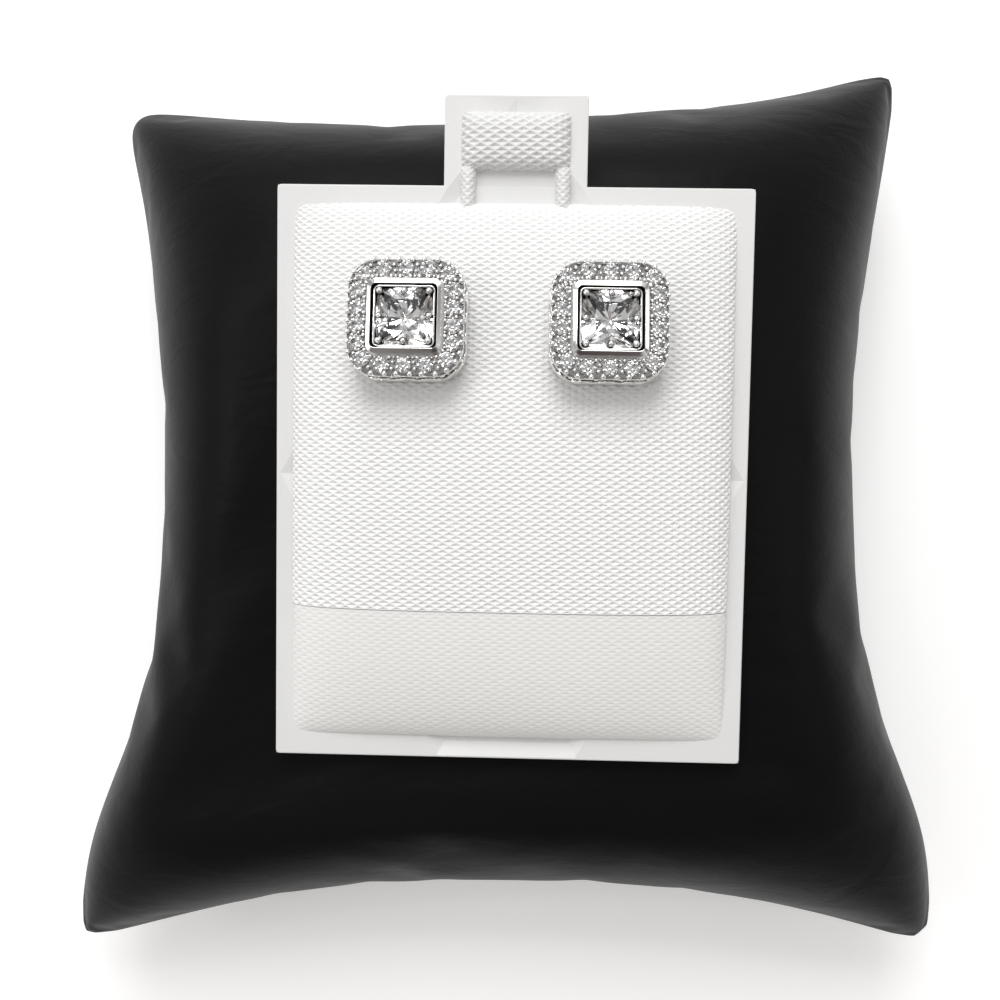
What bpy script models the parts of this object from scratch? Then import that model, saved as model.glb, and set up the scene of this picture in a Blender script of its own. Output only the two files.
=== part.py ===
"""A pair of halo stud earrings on a white puffed card, lying on a small black display pillow.

Metres, +Z up. The origin is on the surface that the pillow lies on, under the middle of the part's box.
+Y points to the card's tab and +X to the right earring. The card leans a little on the pillow's crown.
"""

import math

import bmesh
import bpy
from mathutils import Euler, Matrix, Vector

MM = 0.001

# Display pillow
PILLOW_HALF_X = 42.9 * MM
PILLOW_HALF_Y = 43.9 * MM
PILLOW_SEAM_HEIGHT = 11.5 * MM
PILLOW_CROWN = 19.0 * MM
PILLOW_BELLY = 14.0 * MM
PILLOW_SIDE_DEPTH = 6.4 * MM
PILLOW_TOP_DEPTH = 3.3 * MM
PILLOW_TIP_ROUND = 1.1 * MM

# Corner tips: name, share of the half width, share of the half length
PILLOW_TIPS = {
    "bottom_left": (-1.0, -0.99),
    "bottom_right": (1.0, -1.0),
    "top_left": (-0.89, 0.907),
    "top_right": (0.92, 1.0),
}
# How far each side pulls in at every eighth of its run, as shares of its depth
PILLOW_SIDES = {
    "left": (0, 0.13, 0.65, 1, 1, 0.92, 0.68, 0.40, 0),
    "right": (0, 0.06, 0.62, 0.98, 1, 0.93, 0.67, 0.31, 0),
    "bottom": (0, 0.40, 0.77, 0.97, 1, 0.94, 0.77, 0.43, 0),
    "top": (0, 0.38, 0.72, 0.97, 1, 0.93, 0.86, 0.55, 0),
}

# Puffed card: one thin formed shell with a framed border, a crowned puff and a hanging tab
CARD_WIDTH = 41.0 * MM
CARD_LENGTH = 49.9 * MM
CARD_BORDER = 1.4 * MM
CARD_BOTTOM_BORDER = 1.8 * MM
CARD_RIM_HEIGHT = 1.15 * MM
CARD_CREASE_HEIGHT = 0.75 * MM
CARD_WALL = 0.8 * MM
PUFF_CROWN = 4.3 * MM
PUFF_FLOOR_SETBACK = 0.9 * MM
TAB_WIDTH = 12.3 * MM
TAB_LENGTH = 7.75 * MM
TAB_PAD_RISE = 1.5 * MM
TAB_LEG_WIDTH = 1.35 * MM
TAB_LEG_RISE = 0.9 * MM
TAB_RECESS_LENGTH = 1.4 * MM
TAB_RECESS_DEPTH = 0.3 * MM
CARD_CENTRE = (0.42 * MM, 2.65 * MM, 26.5 * MM)
CARD_LEAN = (4.27, -1.7, -1.04)

# Stud earrings: where the pair sits on the card
STUD_SPACING = 16.5 * MM
STUD_PAIR_X = -0.35 * MM
STUD_Y = 12.9 * MM

# Each earring, from its centre stone outwards
CENTRE_STONE_WIDTH = 4.7 * MM
CENTRE_STONE_CUT_CORNER = 0.33 * MM
BASKET_WALL = 0.16 * MM
BASKET_RISE = 0.35 * MM
BASKET_SET_BACK = 0.1 * MM
PRONG_BEAD_RADIUS = 0.28 * MM
PRONG_INSET = 0.16 * MM
MOAT_WIDTH = 0.26 * MM
MOAT_FLOOR = 0.3 * MM
COLLAR_WALL = 0.27 * MM
COLLAR_CORNER = 0.75 * MM
COLLAR_RISE = 0.55 * MM
HALO_LEDGE = 0.25 * MM
HALO_STONE_DIAMETER = 1.3 * MM
HALO_RIM = 0.18 * MM
HALO_CORNER = 2.5 * MM
HALO_EDGE = 0.05 * MM
HALO_GROOVE_DEPTH = 0.3 * MM
HALO_FOOT_HEIGHT = 0.2 * MM
HALO_FOOT_INSET = 0.15 * MM
HALO_BEAD_RADIUS = 0.18 * MM
INNER_BEAD_RADIUS = 0.15 * MM
BEAD_RAISE = 0.03 * MM
# Stones from corner to corner, along the top and bottom and along the sides
HALO_END_STEPS = 4
HALO_SIDE_STEPS = 5

# Back of each earring
BACK_PLATE = 0.8 * MM
CULET_ROOM = 0.43 * MM
POST_DIAMETER = 0.8 * MM
POST_LENGTH = 9.0 * MM
POST_NOTCH_DEPTH = 0.1 * MM
CLUTCH_DIAMETER = 4.4 * MM
CLUTCH_NECK_DIAMETER = 2.64 * MM
CLUTCH_LENGTH = 2.6 * MM
CLUTCH_DISC = 0.9 * MM
CLUTCH_SLOPE = 0.4 * MM
CLUTCH_EDGE = 0.3 * MM

# Proportions of a cut stone, as shares of its width
CROWN_SHARE = 0.15
PAVILION_SHARE = 0.42
TABLE_SHARE = 0.56

# Clearances
STONE_CLEARANCE = 0.03 * MM
PRONG_CLEARANCE = 0.02 * MM
POST_CLEARANCE = 0.1 * MM
SEAT_GAP = 0.12 * MM
CARD_GAP = 0.3 * MM
WELL_CLEARANCE = 0.6 * MM

# Worked out from the sizes above: half widths from the centre out, then heights
STONE_POCKET = CENTRE_STONE_WIDTH / 2 + STONE_CLEARANCE
BASKET_HALF = STONE_POCKET + BASKET_WALL
COLLAR_INSIDE = BASKET_HALF + MOAT_WIDTH
COLLAR_HALF = COLLAR_INSIDE + COLLAR_WALL
HALO_STONE_LINE = COLLAR_HALF + HALO_LEDGE + HALO_STONE_DIAMETER / 2
HALO_STONE_CORNER = HALO_CORNER - HALO_RIM - HALO_STONE_DIAMETER / 2
HALO_HALF = HALO_STONE_LINE + HALO_STONE_DIAMETER / 2 + HALO_RIM
HALO_HEIGHT = BACK_PLATE + CULET_ROOM + PAVILION_SHARE * CENTRE_STONE_WIDTH

POST_SIDES = 12
PI = math.pi


def clear_scene():
    """Removes what the file opened with"""
    for obj in list(bpy.data.objects):
        bpy.data.objects.remove(obj, do_unlink=True)


def make_material(name, color, roughness, metallic=0.0, transmission=0.0):
    """A plain Principled finish"""
    material = bpy.data.materials.new(name)
    material.use_nodes = True
    shader = material.node_tree.nodes["Principled BSDF"]
    shader.inputs["Base Color"].default_value = (*color, 1.0)
    shader.inputs["Roughness"].default_value = roughness
    shader.inputs["Metallic"].default_value = metallic
    shader.inputs["Transmission Weight"].default_value = transmission
    return material


def mesh_from_bmesh(bm, name, smooth_angle=None):
    """Turns the faces outward and keeps the result as a mesh, smooth below the given angle"""
    bmesh.ops.recalc_face_normals(bm, faces=bm.faces)
    mesh = bpy.data.meshes.new(name)
    bm.to_mesh(mesh)
    bm.free()
    if smooth_angle is not None:
        mesh.shade_smooth()
        mesh.set_sharp_from_angle(angle=math.radians(smooth_angle))
    return mesh


def add_object(name, mesh, material=None, parent=None, location=(0, 0, 0)):
    """Puts a mesh into the scene as one named piece"""
    obj = bpy.data.objects.new(name, mesh)
    bpy.context.collection.objects.link(obj)
    if material is not None:
        mesh.materials.clear()
        mesh.materials.append(material)
    obj.parent = parent
    obj.location = location
    return obj


def combine(base, joined=(), cut=(), smooth_angle=30):
    """Returns one mesh: the base with each of the joined meshes fused on and each cut mesh taken away"""
    body = add_object("combine_base", base)
    tools = [(mesh, "UNION") for mesh in joined] + [(mesh, "DIFFERENCE") for mesh in cut]
    helpers = []
    for mesh, operation in tools:
        helper = add_object("combine_tool", mesh)
        helpers.append(helper)
        modifier = body.modifiers.new("combine", "BOOLEAN")
        modifier.solver = "EXACT"
        modifier.operation = operation
        modifier.object = helper
    bpy.context.view_layer.update()
    evaluated = body.evaluated_get(bpy.context.evaluated_depsgraph_get())
    result = bpy.data.meshes.new_from_object(evaluated)
    for obj in [body, *helpers]:
        bpy.data.objects.remove(obj, do_unlink=True)
    result.shade_smooth()
    result.set_sharp_from_angle(angle=math.radians(smooth_angle))
    return result


def loft(rings, name, smooth_angle=30):
    """Joins rings of points, all of one count, into a solid with a flat cap at each end"""
    bm = bmesh.new()
    rows = [[bm.verts.new(point) for point in ring] for ring in rings]
    count = len(rows[0])
    for low, high in zip(rows, rows[1:]):
        for i in range(count):
            j = (i + 1) % count
            bm.faces.new((low[i], low[j], high[j], high[i]))
    bm.faces.new(rows[0])
    bm.faces.new(rows[-1])
    return mesh_from_bmesh(bm, name, smooth_angle)


def circle_ring(radius, height, sides):
    """Points round a circle"""
    return [
        (radius * math.cos(2 * PI * i / sides), radius * math.sin(2 * PI * i / sides), height)
        for i in range(sides)
    ]


def square_ring(half, corner, height, corner_steps=4, side_steps=2):
    """Points round a square with round corners, the same count whatever its size"""
    corner = min(corner, half)
    flat = half - corner
    points = []
    for quarter in range(4):
        turn = quarter * PI / 2
        centre = Vector((flat, flat, 0))
        for step in range(corner_steps + 1):
            angle = step / corner_steps * PI / 2
            point = centre + corner * Vector((math.cos(angle), math.sin(angle), 0))
            points.append(Matrix.Rotation(turn, 3, "Z") @ point)
        for step in range(1, side_steps):
            point = Vector((flat - 2 * flat * step / side_steps, half, 0))
            points.append(Matrix.Rotation(turn, 3, "Z") @ point)
    return [(point.x, point.y, height) for point in points]


def square_path(half, corner, share):
    """The point at a share of the way round a round-cornered square, from the middle of its +Y side"""
    flat = half - corner
    arc = corner * PI / 2
    quarter_length = 2 * flat + arc
    quarter, along = divmod((share % 1.0) * 4 * quarter_length, quarter_length)
    if along <= flat:
        point = Vector((along, half, 0))
    elif along <= flat + arc:
        angle = (along - flat) / corner
        point = Vector((flat + corner * math.sin(angle), flat + corner * math.cos(angle), 0))
    else:
        point = Vector((half, flat - (along - flat - arc), 0))
    return Matrix.Rotation(-quarter * PI / 2, 3, "Z") @ point


def bead_field(places, radius, fineness):
    """One mesh of separate round beads"""
    bm = bmesh.new()
    for place in places:
        bmesh.ops.create_icosphere(
            bm, subdivisions=fineness, radius=radius, matrix=Matrix.Translation(place)
        )
    return mesh_from_bmesh(bm, "beads", 60)


def single_cut(radius, crown, pavilion, name):
    """A small round stone: a table and 8 facets above its girdle, 8 facets below"""
    culet_share = 0.06
    rings = [
        circle_ring(radius * TABLE_SHARE, crown, 8),
        circle_ring(radius, 0, 8),
        circle_ring(radius * culet_share, -pavilion, 8),
    ]
    return loft(rings, name, 1)


def brilliant(outline, crown, pavilion, name):
    """A cut stone with a table, 8 stars, 8 mains and 16 girdle facets above, 8 mains and 16 halves below.

    outline(angle) is the girdle's reach. The girdle lies at height 0."""
    star_share = 0.78
    half_share = 0.24
    mains = 8
    step = 2 * PI / mains
    bm = bmesh.new()

    def ring(share, turn, height):
        points = []
        for k in range(mains):
            angle = (k + turn) * step
            reach = outline(angle) * share
            points.append(bm.verts.new((reach * math.cos(angle), reach * math.sin(angle), height)))
        return points

    star_height = crown * (1 - star_share * math.cos(step / 2)) / (1 - TABLE_SHARE)
    half_height = -pavilion * (1 - half_share * math.cos(step / 2))
    table = ring(TABLE_SHARE, 0, crown)
    stars = ring(star_share, 0.5, star_height)
    tips = ring(1, 0, 0)
    middles = ring(1, 0.5, 0)
    halves = ring(half_share, 0.5, half_height)
    culet = bm.verts.new((0, 0, -pavilion))
    bm.faces.new(table)
    for k in range(mains):
        after = (k + 1) % mains
        bm.faces.new((table[k], stars[k], table[after]))
        bm.faces.new((table[k], stars[k - 1], tips[k]))
        bm.faces.new((table[k], tips[k], stars[k]))
        bm.faces.new((stars[k], tips[k], middles[k]))
        bm.faces.new((stars[k], middles[k], tips[after]))
        bm.faces.new((halves[k], middles[k], tips[k]))
        bm.faces.new((halves[k], tips[after], middles[k]))
        bm.faces.new((culet, halves[k], tips[k]))
        bm.faces.new((culet, tips[k], halves[k - 1]))
    return mesh_from_bmesh(bm, name)


def sample(values, share):
    """A smooth curve through evenly spaced values, read at a share of its run"""
    last = len(values) - 1
    place = min(max(share, 0.0), 1.0) * last
    index = min(int(place), last - 1)
    before, start, end, after = (values[min(max(index + k, 0), last)] for k in (-1, 0, 1, 2))
    t = place - index
    pull_start = (end - before) / 2
    pull_end = (after - start) / 2
    return (
        start * (2 * t**3 - 3 * t**2 + 1)
        + pull_start * (t**3 - 2 * t**2 + t)
        + end * (3 * t**2 - 2 * t**3)
        + pull_end * (t**3 - t**2)
    )


def pillow_tip(name):
    """The place of one corner tip, seen from above"""
    share_x, share_y = PILLOW_TIPS[name]
    return Vector((share_x * PILLOW_HALF_X, share_y * PILLOW_HALF_Y))


def pillow_side(name, share):
    """A point on one side of the pillow's outline, from its left or bottom end"""
    ends = {
        "left": ("bottom_left", "top_left", Vector((1, 0)), PILLOW_SIDE_DEPTH),
        "right": ("bottom_right", "top_right", Vector((-1, 0)), PILLOW_SIDE_DEPTH),
        "bottom": ("bottom_left", "bottom_right", Vector((0, 1)), PILLOW_SIDE_DEPTH),
        "top": ("top_left", "top_right", Vector((0, -1)), PILLOW_TOP_DEPTH),
    }
    start, end, inward, depth = ends[name]
    return pillow_tip(start).lerp(pillow_tip(end), share) + inward * depth * sample(PILLOW_SIDES[name], share)


def pillow_plan(u, v):
    """Where a point of the pillow's own square, from -1 to 1 each way, lies seen from above"""
    s = (u + 1) / 2
    t = (v + 1) / 2
    across = pillow_side("left", t).lerp(pillow_side("right", t), s)
    along = pillow_side("bottom", s).lerp(pillow_side("top", s), t)
    low = pillow_tip("bottom_left").lerp(pillow_tip("bottom_right"), s)
    high = pillow_tip("top_left").lerp(pillow_tip("top_right"), s)
    plan = across + along - low.lerp(high, t)
    tip_reach = 24
    tip = (abs(u) * abs(v)) ** tip_reach
    return plan - plan.normalized() * PILLOW_TIP_ROUND * tip


def pillow_fullness(u, v):
    """How full the stuffing is, 1 in the middle and 0 at the seam"""
    return math.sqrt(max((1 - abs(u) ** 3) * (1 - abs(v) ** 3), 0.0))


def card_matrix():
    """The card's place in the world: its origin is under its middle, on its flat back"""
    lean = Euler([math.radians(angle) for angle in CARD_LEAN], "XYZ")
    return Matrix.Translation(CARD_CENTRE) @ lean.to_matrix().to_4x4()


def make_pillow():
    """A stuffed square whose sides pull in, pressed flat under the card and where it lies"""
    cells = 20
    crowding = 1.5
    card = card_matrix()
    normal = card.to_3x3() @ Vector((0, 0, 1))
    stations = []
    for i in range(cells + 1):
        s = 2 * i / cells - 1
        stations.append(math.copysign(1 - (1 - abs(s)) ** crowding, s))
    bm = bmesh.new()
    top = {}
    bottom = {}
    for i, u in enumerate(stations):
        for j, v in enumerate(stations):
            plan = pillow_plan(u, v)
            full = pillow_fullness(u, v)
            offset = Vector((plan.x, plan.y, 0)) - Vector((card.translation.x, card.translation.y, 0))
            card_back = card.translation.z - offset.dot(normal) / normal.z - CARD_GAP
            crown = min(PILLOW_SEAM_HEIGHT + PILLOW_CROWN * full, card_back)
            belly = max(PILLOW_SEAM_HEIGHT - PILLOW_BELLY * full, 0.0)
            top[i, j] = bm.verts.new((plan.x, plan.y, crown))
            on_seam = i in (0, cells) or j in (0, cells)
            bottom[i, j] = top[i, j] if on_seam else bm.verts.new((plan.x, plan.y, belly))
    for i in range(cells):
        for j in range(cells):
            for side in (top, bottom):
                bm.faces.new((side[i, j], side[i + 1, j], side[i + 1, j + 1], side[i, j + 1]))
    return mesh_from_bmesh(bm, "pillow", 60)


def bump(distance, width, power):
    """A rounded rise: 1 in the middle of a strip of the given half width, 0 at its edges"""
    return max(1 - abs(distance / width) ** power, 0.0)


class CardShape:
    """The card's heights, in its own frame"""

    half_x = CARD_WIDTH / 2
    half_y = CARD_LENGTH / 2
    puff_x = CARD_WIDTH / 2 - CARD_BORDER
    puff_top = CARD_LENGTH / 2 - CARD_BORDER
    puff_bottom = CARD_BOTTOM_BORDER - CARD_LENGTH / 2
    puff_mid = (puff_top + puff_bottom) / 2
    puff_y = (puff_top - puff_bottom) / 2
    tab_x = TAB_WIDTH / 2
    tab_top = CARD_LENGTH / 2 + TAB_LENGTH
    pad_x = TAB_WIDTH / 2 - CARD_BORDER
    pad_bottom = CARD_LENGTH / 2 + TAB_RECESS_LENGTH
    pad_top = CARD_LENGTH / 2 + TAB_LENGTH - CARD_BORDER
    leg_x = TAB_WIDTH / 2 - CARD_BORDER - TAB_LEG_WIDTH

    def puff(self, x, y, half_x, half_y, crown):
        """The crowned puff: flat across, rounder up and down"""
        across = bump(x, half_x, 3) ** 0.4
        along = bump(y - self.puff_mid, half_y, 2) ** 0.5
        return crown * across * along

    def border(self, x, y):
        """The framed border dips from its rim to the crease round the puff"""
        to_side = self.half_x - abs(x)
        to_bottom = y + self.half_y
        to_top = self.half_y - y
        if abs(x) < self.tab_x and y > self.puff_top:
            to_side = self.tab_x - abs(x)
            to_bottom = to_side
            to_top = self.tab_top - y
        depth = min(to_side / CARD_BORDER, to_top / CARD_BORDER, to_bottom / CARD_BOTTOM_BORDER, 1.0)
        return CARD_RIM_HEIGHT + (CARD_CREASE_HEIGHT - CARD_RIM_HEIGHT) * max(depth, 0.0)

    def front(self, x, y):
        """The height of the front face"""
        height = self.border(x, y)
        rise = self.puff(x, y, self.puff_x, self.puff_y, PUFF_CROWN)
        pad_mid = (self.pad_bottom + self.pad_top) / 2
        pad_half = (self.pad_top - self.pad_bottom) / 2
        pad = TAB_PAD_RISE * (bump(x, self.pad_x, 6) * bump(y - pad_mid, pad_half, 3)) ** 0.5
        leg_mid = (self.leg_x + self.pad_x) / 2
        leg_run_mid = (self.puff_top + self.pad_bottom) / 2
        leg_run_half = (self.pad_bottom - self.puff_top) * 0.75
        leg_across = bump(abs(x) - leg_mid, TAB_LEG_WIDTH / 2, 2)
        leg = TAB_LEG_RISE * (leg_across * bump(y - leg_run_mid, leg_run_half, 4)) ** 0.5
        if abs(x) <= self.leg_x and self.half_y < y < self.pad_bottom:
            height -= TAB_RECESS_DEPTH
        return height + max(rise, pad, leg)

    def back(self, x, y):
        """The height of the back face: flat under the border and hollow behind the puff"""
        half_x = self.puff_x - PUFF_FLOOR_SETBACK
        half_y = self.puff_y - PUFF_FLOOR_SETBACK
        hollow = self.puff(x, y, half_x, half_y, 1.0)
        if hollow <= 0:
            return 0.0
        return hollow * (PUFF_CROWN + CARD_CREASE_HEIGHT - CARD_WALL)

    def x_lines(self):
        """Grid lines across the card, from its middle to its edge"""
        inner = [0, self.leg_x / 2, self.leg_x, self.leg_x + TAB_LEG_WIDTH / 2, self.pad_x, self.tab_x]
        steps = (0.3, 0.56, 0.77, 0.9, 0.965, 1.0)
        outer = [self.tab_x + (self.puff_x - self.tab_x) * step for step in steps]
        half = inner + outer + [self.half_x]
        return [-line for line in reversed(half[1:])] + half

    def y_lines(self):
        """Grid lines up the card, from its bottom edge to the tab's end"""
        steps = (-0.985, -0.93, -0.82, -0.64, -0.4, -0.12, 0.16, 0.42, 0.64, 0.82, 0.93, 0.985)
        main = [self.puff_mid + self.puff_y * step for step in steps]
        pad = self.pad_top - self.pad_bottom
        tab = [self.pad_bottom + pad * step for step in (0, 0.08, 0.3, 0.6, 0.86, 1.0)]
        neck = [self.puff_top, (self.puff_top + self.half_y) / 2, self.half_y]
        recess = [self.half_y + TAB_RECESS_LENGTH * step for step in (0.08, 0.92)]
        return [-self.half_y, self.puff_bottom, *main, *neck, *recess, *tab, self.tab_top]


def make_card(shape, hole_cuts):
    """The formed shell, as a front and a back skin that meet at its edge"""
    xs = shape.x_lines()
    ys = shape.y_lines()
    bm = bmesh.new()
    front = {}
    back = {}
    cells = []
    for i in range(len(xs) - 1):
        for j in range(len(ys) - 1):
            middle_x = (xs[i] + xs[i + 1]) / 2
            middle_y = (ys[j] + ys[j + 1]) / 2
            if middle_y < shape.half_y or abs(middle_x) < shape.tab_x:
                cells.append((i, j))
    for i, j in cells:
        for key in ((i, j), (i + 1, j), (i + 1, j + 1), (i, j + 1)):
            if key not in front:
                x, y = xs[key[0]], ys[key[1]]
                front[key] = bm.verts.new((x, y, shape.front(x, y)))
                back[key] = bm.verts.new((x, y, shape.back(x, y)))
    for i, j in cells:
        loop = ((i, j), (i + 1, j), (i + 1, j + 1), (i, j + 1))
        bm.faces.new([front[key] for key in loop])
        bm.faces.new([back[key] for key in reversed(loop)])
    rim = [edge for edge in bm.edges if edge.is_boundary]
    keys = {vert: key for key, vert in front.items()}
    for edge in rim:
        if edge.verts[0] in keys:
            a, b = edge.verts
            bm.faces.new((a, b, back[keys[b]], back[keys[a]]))
    return combine(mesh_from_bmesh(bm, "card", 40), cut=hole_cuts, smooth_angle=40)


def stud_matrix(shape, x):
    """A stud's place in the card's frame: its back lies against the puff, square to the slope there"""
    step = 0.1 * MM
    height = shape.front(x, STUD_Y)
    slope_x = (shape.front(x + step, STUD_Y) - shape.front(x - step, STUD_Y)) / (2 * step)
    slope_y = (shape.front(x, STUD_Y + step) - shape.front(x, STUD_Y - step)) / (2 * step)
    up = Vector((-slope_x, -slope_y, 1)).normalized()
    right = Vector((1, 0, slope_x)).normalized()
    forward = up.cross(right)
    turn = Matrix((right, forward, up)).transposed()
    place = Vector((x, STUD_Y, height)) + up * SEAT_GAP
    return Matrix.Translation(place) @ turn.to_4x4()


def halo_places(line, corner, offsets, height):
    """Points round the halo, at offsets given as shares of the step between stones.

    A stone sits in the middle of each corner, and the rest are spread evenly from corner to corner."""
    places = []
    for quarter in range(4):
        steps = HALO_SIDE_STEPS if quarter % 2 else HALO_END_STEPS
        for k in range(steps):
            for offset in offsets:
                share = (quarter - 0.5 + (k + offset) / steps) / 4
                places.append(square_path(line, corner, share) + Vector((0, 0, height)))
    return places


def make_setting():
    """The cast and soldered metal: halo, collar, basket with its prongs, back plate and post, all one solid"""
    groove = HALO_HALF - HALO_GROOVE_DEPTH
    # Reach, then height as a share of the wall's
    wall_steps = (
        (HALO_HALF - HALO_FOOT_INSET, 0.0),
        (HALO_HALF, 0.09),
        (HALO_HALF, 0.36),
        (groove, 0.41),
        (groove, 0.6),
        (HALO_HALF, 0.65),
        (HALO_HALF, 0.985),
        (HALO_HALF - HALO_EDGE, 1.0),
    )
    wall_run = HALO_HEIGHT - HALO_FOOT_HEIGHT
    block = loft(
        [
            square_ring(reach, HALO_CORNER, HALO_FOOT_HEIGHT + share * wall_run, 5)
            for reach, share in wall_steps
        ],
        "halo_block",
    )

    collar_top = HALO_HEIGHT + COLLAR_RISE
    rim = HALO_HEIGHT + BASKET_RISE
    moat_floor = BACK_PLATE + MOAT_FLOOR
    well_floor = BACK_PLATE + CULET_ROOM / 5
    inner_corner = COLLAR_CORNER - COLLAR_WALL
    pocket_corner = inner_corner * 0.8
    chamfer = COLLAR_WALL / 3
    moat = loft(
        [
            square_ring(COLLAR_INSIDE, inner_corner, moat_floor),
            square_ring(COLLAR_INSIDE, inner_corner, collar_top - chamfer),
            square_ring(COLLAR_INSIDE + chamfer, inner_corner + chamfer, collar_top),
            square_ring(COLLAR_INSIDE + chamfer, inner_corner + chamfer, collar_top + COLLAR_WALL),
        ],
        "moat",
    )
    collar = loft(
        [
            square_ring(COLLAR_HALF, COLLAR_CORNER, BACK_PLATE),
            square_ring(COLLAR_HALF, COLLAR_CORNER, collar_top - chamfer / 2),
            square_ring(COLLAR_HALF - chamfer / 2, COLLAR_CORNER, collar_top),
        ],
        "collar",
    )
    basket = loft(
        [
            square_ring(BASKET_HALF, inner_corner, BACK_PLATE),
            square_ring(BASKET_HALF, inner_corner, rim),
        ],
        "basket",
    )
    well = loft(
        [
            square_ring(0.12 * STONE_POCKET, inner_corner * 0.1, well_floor),
            square_ring(STONE_POCKET, pocket_corner, HALO_HEIGHT - BASKET_SET_BACK),
            square_ring(STONE_POCKET, pocket_corner, rim + BASKET_RISE),
        ],
        "well",
    )
    prong_line = STONE_POCKET - PRONG_INSET
    crown_run = CENTRE_STONE_WIDTH / 2 * (1 - TABLE_SHARE)
    slope = math.atan2(CROWN_SHARE * CENTRE_STONE_WIDTH, crown_run)
    stone_edge = CENTRE_STONE_WIDTH / 2 - prong_line
    lift = (PRONG_BEAD_RADIUS + PRONG_CLEARANCE) / math.cos(slope) + stone_edge * math.tan(slope)
    prong_places = [
        Vector((across * prong_line, along * prong_line, HALO_HEIGHT + lift))
        for across in (-1, 0, 1)
        for along in (-1, 0, 1)
        if across or along
    ]
    prongs = bead_field(prong_places, PRONG_BEAD_RADIUS, 2)

    bead_height = HALO_HEIGHT + BEAD_RAISE
    outer_line = HALO_HALF - HALO_EDGE
    outer_places = halo_places(outer_line, HALO_CORNER - HALO_EDGE, (0.29, 0.71), bead_height)
    outer_beads = bead_field(outer_places, HALO_BEAD_RADIUS, 1)
    inner_line = HALO_STONE_LINE - HALO_STONE_DIAMETER / 2
    inner_bead_corner = HALO_STONE_CORNER - HALO_STONE_DIAMETER / 2
    inner_places = halo_places(inner_line, inner_bead_corner, (0.5,), bead_height)
    inner_beads = bead_field(inner_places, INNER_BEAD_RADIUS, 1)

    post_radius = POST_DIAMETER / 2
    notch = 0.84 * POST_LENGTH
    notch_run = 4 * POST_NOTCH_DEPTH
    post = loft(
        [
            circle_ring(post_radius, HALO_FOOT_HEIGHT + BACK_PLATE / 2, POST_SIDES),
            circle_ring(post_radius, notch_run - notch, POST_SIDES),
            circle_ring(post_radius - POST_NOTCH_DEPTH, -notch, POST_SIDES),
            circle_ring(post_radius, -notch_run - notch, POST_SIDES),
            circle_ring(post_radius, post_radius - POST_LENGTH, POST_SIDES),
            circle_ring(post_radius / 2, -POST_LENGTH, POST_SIDES),
        ],
        "post",
    )
    halo = combine(block, joined=[collar], cut=make_seats())
    beaded = combine(halo, joined=[outer_beads, inner_beads], cut=[moat])
    basketed = combine(beaded, joined=[basket, post], cut=[well])
    return combine(basketed, joined=[prongs])


def make_seats():
    """Cutters for the halo's stone seats, every other one in each mesh so that none crosses its neighbour"""
    sides = 8
    reach = (HALO_STONE_DIAMETER / 2 + STONE_CLEARANCE) / math.cos(PI / sides)
    depth = PAVILION_SHARE * HALO_STONE_DIAMETER + 4 * STONE_CLEARANCE
    flare = 1.06
    fields = [bmesh.new(), bmesh.new()]
    for number, place in enumerate(halo_places(HALO_STONE_LINE, HALO_STONE_CORNER, (0,), HALO_HEIGHT)):
        cutter = loft(
            [
                circle_ring(reach * 0.1, -depth, sides),
                circle_ring(reach * flare, STONE_CLEARANCE, sides),
            ],
            "seat",
        )
        cutter.transform(Matrix.Translation(place))
        fields[number % 2].from_mesh(cutter)
    return [mesh_from_bmesh(field, "seats") for field in fields]


def square_outline(half, cut):
    """The reach of a square with cut corners, by angle"""

    def reach(angle):
        across = abs(math.cos(angle))
        along = abs(math.sin(angle))
        return min(half / max(across, along), (2 * half - cut) / (across + along))

    return reach


def make_clutch():
    """A plain round back that grips the post"""
    sides = 16
    radius = CLUTCH_DIAMETER / 2
    neck = CLUTCH_NECK_DIAMETER / 2
    bore = POST_DIAMETER / 2 + POST_CLEARANCE
    barrel = loft(
        [
            circle_ring(radius - CLUTCH_EDGE, 0, sides),
            circle_ring(radius, -CLUTCH_EDGE, sides),
            circle_ring(radius, -CLUTCH_DISC, sides),
            circle_ring(neck, -CLUTCH_DISC - CLUTCH_SLOPE, sides),
            circle_ring(neck, CLUTCH_EDGE - CLUTCH_LENGTH, sides),
            circle_ring(neck - CLUTCH_EDGE, -CLUTCH_LENGTH, sides),
        ],
        "clutch",
    )
    hole = loft(
        [
            circle_ring(bore, -CLUTCH_LENGTH - CLUTCH_EDGE, POST_SIDES),
            circle_ring(bore, CLUTCH_EDGE, POST_SIDES),
        ],
        "bore",
    )
    return combine(barrel, cut=[hole])


def cylinder_cut(matrix, radius, start, end):
    """A round cutter along a stud's own axis"""
    cut = loft([circle_ring(radius, start, POST_SIDES), circle_ring(radius, end, POST_SIDES)], "cut")
    cut.transform(matrix)
    return cut


def add_stud(name, frame, setting, centre_stone, halo_stone, clutch, finishes):
    """One earring: its metal, its centre stone, the stones of its halo and its clutch, on one frame"""
    metal, crystal = finishes
    holder = bpy.data.objects.new(name + "_frame", None)
    bpy.context.collection.objects.link(holder)
    holder.matrix_world = frame
    add_object(name + "_setting", setting, metal, holder)
    add_object(name + "_centre_stone", centre_stone, crystal, holder, (0, 0, HALO_HEIGHT))
    places = halo_places(HALO_STONE_LINE, HALO_STONE_CORNER, (0,), HALO_HEIGHT)
    for number, place in enumerate(places, 1):
        stone = add_object(f"{name}_halo_stone_{number:02d}", halo_stone, crystal, holder, place)
        stone.rotation_euler.z = math.atan2(place.y, place.x)
    clutch_top = -(CARD_WALL + 2 * SEAT_GAP + CARD_GAP)
    add_object(name + "_clutch", clutch, metal, holder, (0, 0, clutch_top))


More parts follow.
